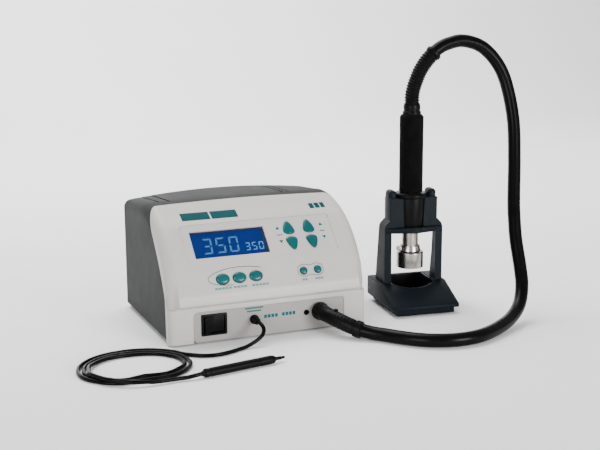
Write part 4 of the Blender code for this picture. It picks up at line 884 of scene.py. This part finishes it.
def on_face(x, z, lift=0.05 * MM):
    """A point just off the curved face at a height, in the unit frame."""
    if z < FACE_LOW_Z:
        low_y = -0.83 * BROW_OUT
        low_z = BROW_FOOT_Z + 1.62 * (BROW_Z - BROW_FOOT_Z)
        share = (z - low_z) / (FACE_LOW_Z - low_z)
        y = low_y + share * (face_y(FACE_LOW_Z) - low_y)
        return Vector((x, y - lift * 0.92, z + lift * 0.4))
    low = math.asin((FACE_LOW_Z - FACE_CENTRE_Z) / FACE_RADIUS)
    plain = z
    for _ in range(6):  # the face stands off its own circle towards the roof
        angle = math.asin(min(1.0, (plain - FACE_CENTRE_Z) / FACE_RADIUS))
        share = (angle - low) / (math.pi / 2 - low)
        rise = share ** 2 * (ROOF_LIFT - FRONT_CROWN * (2 * x / WIDTH) ** 2)
        plain = z - rise
    away = Vector((0, -math.cos(angle), math.sin(angle)))
    return Vector((x, FACE_CENTRE_Y, FACE_CENTRE_Z + rise)) + away * (FACE_RADIUS + lift)


def face_line(points, width, closed=False, thick=0.12 * MM):
    """A thin printed or engraved line along the face, through (x, z) points."""
    count = len(points)
    rings = []
    for i, (x, z) in enumerate(points):
        before = points[i - 1] if closed or i else points[i]
        after = points[(i + 1) % count] if closed or i < count - 1 else points[i]
        along = Vector((after[0] - before[0], after[1] - before[1])).normalized()
        side = Vector((-along.y, along.x)) * width / 2
        a, b = (x + side.x, z + side.y), (x - side.x, z - side.y)
        rings.append([on_face(*a, -thick), on_face(*a, thick), on_face(*b, thick), on_face(*b, -thick)])
    return loft(rings, closed=closed)


def smooth_2d(points):
    route = smooth_route([(x, z, 0) for x, z in points], 1.2 * MM)
    return [(p.x, p.y) for p in route]


def face_bar(x0, x1, z0, z1, thick=0.12 * MM):
    """A blank printed bar on the face."""
    count = 8
    rings = []
    for k in range(count + 1):
        z = z0 + (z1 - z0) * k / count
        rings.append([on_face(x0, z, -thick), on_face(x0, z, thick), on_face(x1, z, thick),
                      on_face(x1, z, -thick)])
    return loft(rings)


def build_prints():
    """Blank bars where the unit carries lettering, arrows by the keys and the thin lines round the buttons."""
    title = [(-87.1, -52.6, 131, 137.4), (-50.6, -18.1, 131, 137.4), (75.7, 81.6, 132.8, 137.2),
             (83, 88.9, 132.8, 137.2), (90.3, 95.7, 132.8, 137.2)]
    bars = [face_bar(*[v * MM for v in bar]) for bar in title]
    piece("title_bars", joined(bars), "title", "unit")
    legends = [(-68, 5, 4.2), (-45.5, 4, 4.2), (-23, 5, 4.2), (39.6, 2, 3.6), (56, 3, 3.6)]
    small = [face_bar((start + k * pitch) * MM, (start + (k + 0.8) * pitch) * MM, 60.8 * MM, 62.8 * MM)
             for start, count, pitch in legends for k in range(count)]
    piece("legend_bars", joined(small), "pale_print", "unit")
    rows = [(-31.8, 34, 9, 2.5, 2), (-29.2, 30.4, 7, 2.5, 2), (-8.6, 22.3, 4, 4.5, 4),
            (13.8, 22.6, 4, 4.4, 4)]
    lower = [slab(centred((start + (k + 0.5) * pitch) * MM, z * MM, 0.78 * pitch * MM, tall * MM), 0.38 * MM,
                  0.6 * MM,
                  "Y") for start, z, count, pitch, tall in rows for k in range(count)]
    piece("panel_bars", joined(lower), "print", "unit")
    arrows = []
    for x, up, sign in ((24.5, 11.6, 1), (24.5, -7.8, -1), (80, 12.2, 1), (80, -6.6, -1)):
        tri = [(x - 2.6, up - sign * 2.1), (x + 2.6, up - sign * 2.1), (x, up + sign * 2.1)]
        arrows.append(slab(mm(tri), -0.1 * MM, 0.12 * MM))
    for x, up in ((24.5, 1.8), (80, 2.6)):
        arrows.append(slab(centred(x * MM, up * MM, 6.5 * MM, 1.1 * MM), -0.1 * MM, 0.1 * MM))
    piece("key_arrows", joined(arrows), "print", "unit", at=FIELD)
    eye = [(-9, 79.8), (-20, 81.6), (-35.5, 82.6), (-52, 81.4), (-66, 78.2), (-74, 73.5), (-71.5, 68.5),
           (-60, 65.4),
           (-45, 64.2)]
    piece("button_eye_line", face_line(smooth_2d(eye), 0.7 * MM), "line", "unit")
    middle, reach = sum(ROUND_X) / 2, (ROUND_X[1] - ROUND_X[0]) / 2
    loop = []
    for k in range(72):
        angle = 2 * math.pi * k / 72
        across = (reach + 7 * MM) * math.cos(angle)
        waist = 1 - 0.32 * math.exp(-(across / (5.5 * MM)) ** 2)
        rise = math.copysign(abs(math.sin(angle)) ** 0.62, math.sin(angle))
        loop.append((middle + across, BUTTON_Z + 7.4 * MM * waist * rise))
    piece("round_button_line", face_line(loop, 0.6 * MM, closed=True), "line", "unit")


build_display()
build_keys()
build_prints()


# ---------------------------------------------------------------- connector panel

def build_panel():
    fit = mm([(-93.5, 0.3), (93.5, 0.3), (93.5, 36.2), (-93.5, 36.2)])
    panel = make("lower_panel", slab(rounded(fit, 4.7 * MM), 0.5 * MM, 2.5 * MM, "Y"), "panel")
    cut(panel, slab(centred(*SWITCH_AT, 28.8 * MM, 23.6 * MM), -20 * MM, 20 * MM, "Y"))
    for (x, z), radius in ((VACUUM_AT, 3.2), (JACK_AT, 2.9), (GLAND_AT, 7.5)):
        cut(panel, slab([(x * MM + a, z * MM + b) for a, b in oval(2 * radius * MM, 2 * radius * MM)],
                        -20 * MM, 20 * MM, "Y"))
    settle(panel, "unit", ["connector_panel"], 28)


def build_switch():
    front = PANEL_FRONT
    outer = centred(*SWITCH_AT, 30.6 * MM, 25.4 * MM)
    rim = rounded(outer, 1.2 * MM, 4)
    rings = []
    for grow, y in ((0, 0.2), (0, 1.3), (-0.35, 1.75), (-0.9, 1.95)):
        rings.append([(x, front - y * MM, z) for x, z in grown(rim, grow * MM)])
    rings.reverse()
    switch = make("switch_housing", loft(rings), "black")
    case = slab(centred(*SWITCH_AT, 28.2 * MM, 23 * MM), front - 1 * MM, 20 * MM, "Y")
    cut(switch, case, "UNION")
    cut(switch, slab(centred(*SWITCH_AT, 25.4 * MM, 20.2 * MM), -20 * MM, 10 * MM, "Y"))
    settle(switch, "unit", ["switch_body"], 28)
    half, high = 12.2 * MM, 9.75 * MM
    wedge = half * math.tan(math.radians(8))
    curve = [(half * t, -1.4 * MM - wedge * abs(t) ** 1.25) for t in [k / 12 - 1 for k in range(25)]]
    outline = [*curve, (0.72 * half, 4 * MM), (-0.72 * half, 4 * MM)]
    at = (UNIT @ Matrix.Translation((SWITCH_AT[0], front + 1.2 * MM, SWITCH_AT[1]))
          @ Matrix.Rotation(math.radians(8), 4, "Z"))
    rocker = make("rocker_cap", slab(outline, -high, high), "black", at)
    add_bevel(rocker, 0.5 * MM, 3, 40)
    settle(rocker, "rocker", ["power_rocker"], 40)


def outward(x, z):
    """A turned piece's frame on the lower panel: its axis out of the panel."""
    return UNIT @ Matrix.Translation((x * MM, PANEL_FRONT, z * MM)) @ Matrix.Rotation(math.pi / 2, 4, "X")


def build_sockets():
    nut = [(0, -12), (3, -12), (3, 0.3), (5.5, 0.3), (5.5, 3.1), (4.9, 4), (4.1, 4.1), (4.1, 5.2), (4.4, 5.4),
           (4.4, 6.6), (4.0, 6.9), (4.0, 8.1), (4.3, 8.3), (4.3, 9.5), (3.9, 9.8), (3.8, 11.6), (3.0, 12.4),
           (0, 12.4)]
    piece("vacuum_fitting", turned(mm(nut), 36, 0.35 * MM), "rubber", "unit",
          ["vacuum_socket"], outward(*VACUUM_AT))
    jack = [(2, -8.4), (2.6, -8.4), (2.6, 0.3), (3.3, 0.3), (3.3, 0.8), (2.9, 1.2), (2.2, 1.2), (2, 0.9)]
    piece("ground_socket", turned(mm(jack), 36), "black", "unit", ["ground_jack"], outward(*JACK_AT))


def build_gland():
    """The hose's rubber relief: a bell on the panel, a ribbed elbow, an end ring, and a small clamp screw."""
    points = bench_points(SLEEVE_ROUTE, 0.9 * MM)
    count = len(points) - 1
    radii = []
    for i in range(count + 1):
        s = i / count
        radius = 9.15
        if s < 0.05:
            radius = 10.9
        elif s < 0.14:
            radius = 10.9 - 1.5 * (s - 0.05) / 0.09
        if 0.22 < s < 0.8:
            radius += 0.10 * math.sin(2 * math.pi * (s - 0.22) / 0.058)
        if s > 0.87:
            radius = 10.1
        if s > 0.975:
            radius = 9.7
        if 0.83 < s < 0.87:
            radius = 8.8
        radii.append(radius * MM)
    sleeve = make("hose_relief", sweep(points, radii, 36), "rubber", WORLD)
    settle(sleeve, "unit", ["hose_gland"], 30)
    knob = turned(mm([(0, 0), (2.6, 0), (2.6, 2.4), (1.9, 3), (0, 3)]), 24, 0.3 * MM)
    at = BENCH @ Matrix.Translation((69.5 * MM, -29.5 * MM, 29.2 * MM)) @ Euler((0.25, 0.3,
                                                                                 0)).to_matrix().to_4x4()
    piece("relief_screw", knob, "black", "unit", at=at)


build_panel()
build_switch()
build_sockets()
build_gland()


# ---------------------------------------------------------------- stand

def build_stand_base():
    top = [(-1.5, 8), (-1.5, 12), (0, 13.4), (45, 32), (93.5, 32), (95, 30.5), (95, 9.5), (93, 8)]
    base = make("stand_foot_block", slab(mm(top), -43.5 * MM, 43.5 * MM, "X"),
                "slate", STAND)
    add_bevel(base, 1.1 * MM, 3, 30)
    cut(base, block(*mm([(-37.5, 0, 1.5), (37.5, 89, 12)]), 0.8 * MM), "UNION", STAND)
    cut(base, slab(well_outline(0.3 * MM), 8.7 * MM, 1), at=STAND)
    settle(base, "unit", ["stand_base"], 28)


def well_outline(grow):
    half = 29.2 * MM + grow
    front, back = 33 * MM - grow, 89 * MM + grow
    rise = 45 * MM - front
    radius = (half ** 2 + rise ** 2) / (2 * rise)
    centre = front + radius
    reach = math.asin(half / radius)
    angles = [-reach + 2 * reach * k / 40 for k in range(41)]
    arc = [(radius * math.sin(a), centre - radius * math.cos(a)) for a in angles]
    return [*arc, (half, back), (-half, back)]


def build_cup():
    cup = make("cup", slab(well_outline(0), 9 * MM, 31.4 * MM), "enamel", STAND)
    drop = (32 - 13) / 45
    wedge = [(-20, 12.4 - 20 * drop), (45, 31.4), (45, 900), (-20, 900)]
    cut(cup, slab(mm(wedge), -1, 1, "X"), at=STAND)
    cut(cup, slab(well_outline(-1.6 * MM), 10.6 * MM, 1), at=STAND)
    settle(cup, "unit", ["heat_cup"], 28)


def build_upright():
    foot, top = 32.3, 102
    shoulder = [(-38.3, 96), (38.3, 96), (38.3, 103), (36.8, 106.5), (31.5, 112), (-31.5, 112),
                (-36.8, 106.5),
                (-38.3, 103)]
    upright = make("stand_posts", slab(mm(shoulder), 45.15 * MM, 67 * MM, "Y"),
                   "slate", STAND)
    for side in (-1, 1):
        rings = []
        for bar, fin, z in ((61, 78, foot), (55.5, 66.5, top)):
            plan = [(29.5, 45), (38.5, 45), (38.5, fin), (35.5, fin), (35.5, bar), (29.5, bar)]
            rings.append([(side * x * MM, y * MM, z * MM) for x, y in plan])
        cut(upright, loft(rings), "UNION", STAND)
    cut(upright, block(*mm([(-31.25, 44.85, 103.5), (31.25, 67.15, 140)]), 1.5 * MM), "UNION",
        STAND)
    for side in (-1, 1):
        ear = block(*mm([(-5.2, 48.5, 100), (5.2, 66.8, 149)]), 4.4 * MM, 5)
        cut(upright, ear, "UNION", STAND @ Matrix.Translation((side * 26.1 * MM, 0, 0)))
    lip = [(-37.5, 48), *[(37.5 * t, 45.2 - 8.4 * (1 - t * t)) for t in [k / 16 - 1 for k in range(33)]],
           (37.5, 48)]
    cut(upright, slab(mm(lip), 96.1 * MM, 103 * MM), "UNION", STAND, (2 * MM, 4, 50))
    back = turned(mm([(0, 96.2), (22, 96.2), (22, 139.5), (0, 139.5)]), 64)
    cut(upright, back, "UNION", HANDLE)
    cut(upright, block((-1, -1, 103.1 * MM), (1, 45.3 * MM, 1)), at=STAND)
    bore = turned(mm([(0, 76), (17.2, 76), (17.2, 101), (18.6, 139), (18.6, 1000), (0, 1000)]), 64)
    cut(upright, bore, at=HANDLE)
    cut(upright, block((-21 * MM, -1, 139 * MM), (21 * MM, 1, 1)), at=STAND)
    cut(upright, block((-18.4 * MM, 50.4 * MM, 76 * MM), (-10 * MM, 60.7 * MM, 1)), at=STAND)
    settle(upright, "unit", ["stand_upright"], 28)


build_stand_base()
build_cup()
build_upright()


# ---------------------------------------------------------------- handle

def build_nozzle():
    low, top = 49.5, 70
    shell = [(16.8, low), (16.8, top - 1.4), (16.1, top - 0.4), (14.3, top), (11.4, top), (11.4, top + 8),
             (10.3, top + 8),
             (10.3, top - 1.2), (15.3, top - 1.2), (15.3, low)]
    piece("nozzle_shell", turned(mm(shell), 72, 0.3 * MM), "steel", "handle",
          ["nozzle"], HANDLE, 30)
    ring = [(11.7, top + 1), (13.6, top + 0.7), (13.2, top + 2), (12.4, top + 6.6), (12.6, top + 7),
            (11.7, top + 7)]
    clamp = make("clamp_ring", turned(mm(ring), 64, 0.2 * MM), "steel", HANDLE)
    lug = block((-18 * MM, -2.6 * MM, (top + 1.6) * MM), (-12 * MM, 2.6 * MM, (top + 6.4) * MM), 0.5 * MM)
    cut(clamp, lug, "UNION", HANDLE)
    settle(clamp, "handle", ["nozzle_clamp"], 30)
    screw = turned(mm([(0, -6.5), (2.2, -6.5), (2.6, -6), (2.6, -2.9), (0, -2.9)]),
                   24, 0.2 * MM)
    at = HANDLE @ Matrix.Translation((-15.4 * MM, 0, (top + 4) * MM)) @ Matrix.Rotation(-math.pi / 2, 4, "X")
    piece("clamp_screw_head", screw, "steel", "handle", ["clamp_screw"], at)
    tube = [(10, top - 4), (10, 144.5), (9.2, 144.5), (9.2, top - 4)]
    piece("heater_barrel", turned(mm(tube), 56), "heater", "handle", ["heater_tube"], HANDLE, 30)


def build_grip():
    shroud = [(10.3, 101), (15.7, 101), (16.6, 101.9), (18, 138.8), (10.3, 138.8)]
    piece("shroud", turned(mm(shroud), 64, 0.4 * MM), "black", "handle",
          ["heat_shroud"], HANDLE, 30)
    collar = [(10.3, 139.3), (19.6, 139.3), (20.4, 140.1), (20.4, 143.0), (19.2, 144.8), (10.3, 144.8)]
    piece("collar", turned(mm(collar), 64, 0.6 * MM), "black", "handle",
          ["handle_collar"], HANDLE, 30)
    sleeve = [(9.3, 145.1)]
    outer = []
    for k in range(41):
        t = k / 40
        ends = 1.3 * max(0.0, 1 - t / 0.02) + 1.6 * max(0.0, 1 - (1 - t) / 0.025)
        radius = 14.75 + 0.05 * math.sin(23 * t) - ends
        outer.append((radius, 145.1 + 97 * t))
    sleeve += outer + [(9.3, 242.1)]
    piece("grip_sleeve", turned(mm(sleeve), 64), "foam", "handle", ["foam_grip"], HANDLE, 30)
    cuff = [(0, 242.4), (11.4, 242.4), (11.4, 246.2), (10.3, 246.8), (10.2, 249), (10.6, 249.8),
            (10.3, 253.6),
            (9.6, 256.4), (0, 256.4)]
    piece("cuff", turned(mm(cuff), 56, 0.4 * MM), "black", "handle",
          ["handle_cuff"], HANDLE, 30)


def build_boot():
    """The corrugated relief that carries the hose out of the handle, and the ring at its end."""
    points = bench_points(BOOT_ROUTE, 0.4 * MM)
    length = route_length(points)
    radii = []
    walked = 0.0
    for i, p in enumerate(points):
        walked += (p - points[i - 1]).length if i else 0.0
        wave = math.cos(2 * math.pi * walked / (3.25 * MM))
        rib = 8.95 * MM + 0.62 * MM * math.copysign(abs(wave) ** 0.6, wave)
        ends = min(1.0, walked / (2 * MM), (length - walked) / (1.5 * MM))
        radii.append(8.7 * MM + (rib - 8.7 * MM) * max(0.0, ends))
    piece("corrugated_boot", sweep(points, radii, 32), "rubber", "handle", ["hose_boot"],
          WORLD, 60)
    ring = bench_points(RING_ROUTE, 0.4 * MM)
    count = len(ring) - 1
    radii = [(10.3 - 0.9 * max(0.0, abs(2 * i / count - 1) - 0.6) / 0.4) * MM for i in range(count + 1)]
    piece("boot_end_ring", sweep(ring, radii, 40), "black", "handle", ["boot_ring"],
          WORLD, 40)


build_nozzle()
build_grip()
build_boot()


# ---------------------------------------------------------------- pen

def build_pen():
    at = (BENCH @ Matrix.Translation((-120.6 * MM, -110.4 * MM, 4.9 * MM))
          @ turn(0, math.pi / 2, math.radians(10)))
    body = [(0, 0), (2.6, 0), (3.0, 0.6), (3.0, 2.5), (4.2, 2.8), (4.85, 3.6), (4.85, 7.6), (4.5, 8.2),
            (4.5, 9.4),
            (4.85, 10)]
    body += [(4.8, 12), (4.8, 68), (4.55, 68.6), (4.55, 70.4), (4.85, 71), (4.85, 83), (4.3, 87.5),
             (2.5, 90.6), (0, 91)]
    piece("pen_barrel", turned(mm(body), 40, 0.3 * MM), "pen", "pen", ["pen_body"],
          at, 40)
    needle = [(0, 91.3), (2, 91.3), (2, 97), (1.5, 97.5), (1.5, 101.2), (1, 102), (0, 102)]
    piece("needle", turned(mm(needle), 24, 0.2 * MM), "pen", "pen", ["pen_needle"],
          at, 40)


build_pen()


# ---------------------------------------------------------------- CAD nodes that stay, and the back

CARRIED = {
    "base_tray": "tray", "rear_panel": "tray", "display_board": "board", "main_board": "board",
    "transformer": "lacquer", "air_pump": "cast", "vacuum_pump": "cast", "air_duct": "rubber",
    "vacuum_line": "rubber", "mains_inlet": "black", "fuse_drawer": "black", "heater_core": "ceramic",
    "handle_core": "black", "foot_front_left": "rubber", "foot_front_right": "rubber",
    "foot_rear_left": "rubber",
    "foot_rear_right": "rubber", "stand_pad_front_left": "rubber", "stand_pad_front_right": "rubber",
    "stand_pad_rear_left": "rubber", "stand_pad_rear_right": "rubber",
}


def carry_over():
    for name, look in CARRIED.items():
        mesh = NODES[name].data
        mesh.materials.clear()
        mesh.materials.append(LOOKS[look])
        mesh.shade_smooth()
        mesh.set_sharp_from_angle(angle=math.radians(30))


def build_screws():
    """Plain screw heads on the rear panel."""
    head = [(0, -1), (2.6, -1), (2.6, 0.3), (2.1, 1), (0, 1.3)]
    for i, (x, z) in enumerate(((-100, 16), (100, 16), (-100, 112), (100, 112), (0, 112))):
        at = UNIT @ Matrix.Translation((x * MM, DEPTH - 0.6 * MM, z * MM)) @ Matrix.Rotation(-math.pi / 2, 4,
                                                                                             "X")
        piece(f"rear_screw_{i}", turned(head, 28), "steel", "unit", at=at @ Matrix.Scale(MM, 4))


carry_over()
build_screws()


# ---------------------------------------------------------------- stage

def build_stage():
    outline = [(-4.0, 0.0), (1.6, 0.0)]
    outline += [(1.6 + 0.9 * math.sin(a), 0.9 * (1 - math.cos(a)))
                for a in [math.pi / 2 * k / 16 for k in range(1, 17)]]
    outline += [(2.5, 4.0), (2.52, 4.0), (2.52, -0.02), (-4.0, -0.02)]
    stage = make("backdrop", slab(outline, -5, 5, "X"), "backdrop", WORLD, 60)


def lamp(name, place, target, size, energy):
    light = bpy.data.lights.new(name, "AREA")
    light.energy, light.size = energy, size
    made = bpy.data.objects.new(name, light)
    bpy.context.scene.collection.objects.link(made)
    made.location = place
    made.rotation_euler = (Vector(target) - Vector(place)).to_track_quat("-Z", "Y").to_euler()


def build_light():
    world = bpy.data.worlds.new("studio")
    bpy.context.scene.world = world
    world.use_nodes = True
    background = world.node_tree.nodes["Background"]
    background.inputs["Color"].default_value = (1, 1, 1, 1)
    background.inputs["Strength"].default_value = 0.5
    lamp("key", (0.9, -2.2, 0.45), (0.05, 0, 0.1), 0.8, 62)
    lamp("fill", (-1.7, -1.6, 0.5), (0, 0, 0.1), 1.0, 30)
    lamp("top", (-0.4, 1.0, 2.3), (0.0, 0.1, 0), 1.8, 60)
    lamp("wall", (0.2, 0.9, 1.9), (0.3, 2.4, 0.6), 1.6, 60)


build_stage()
build_light()
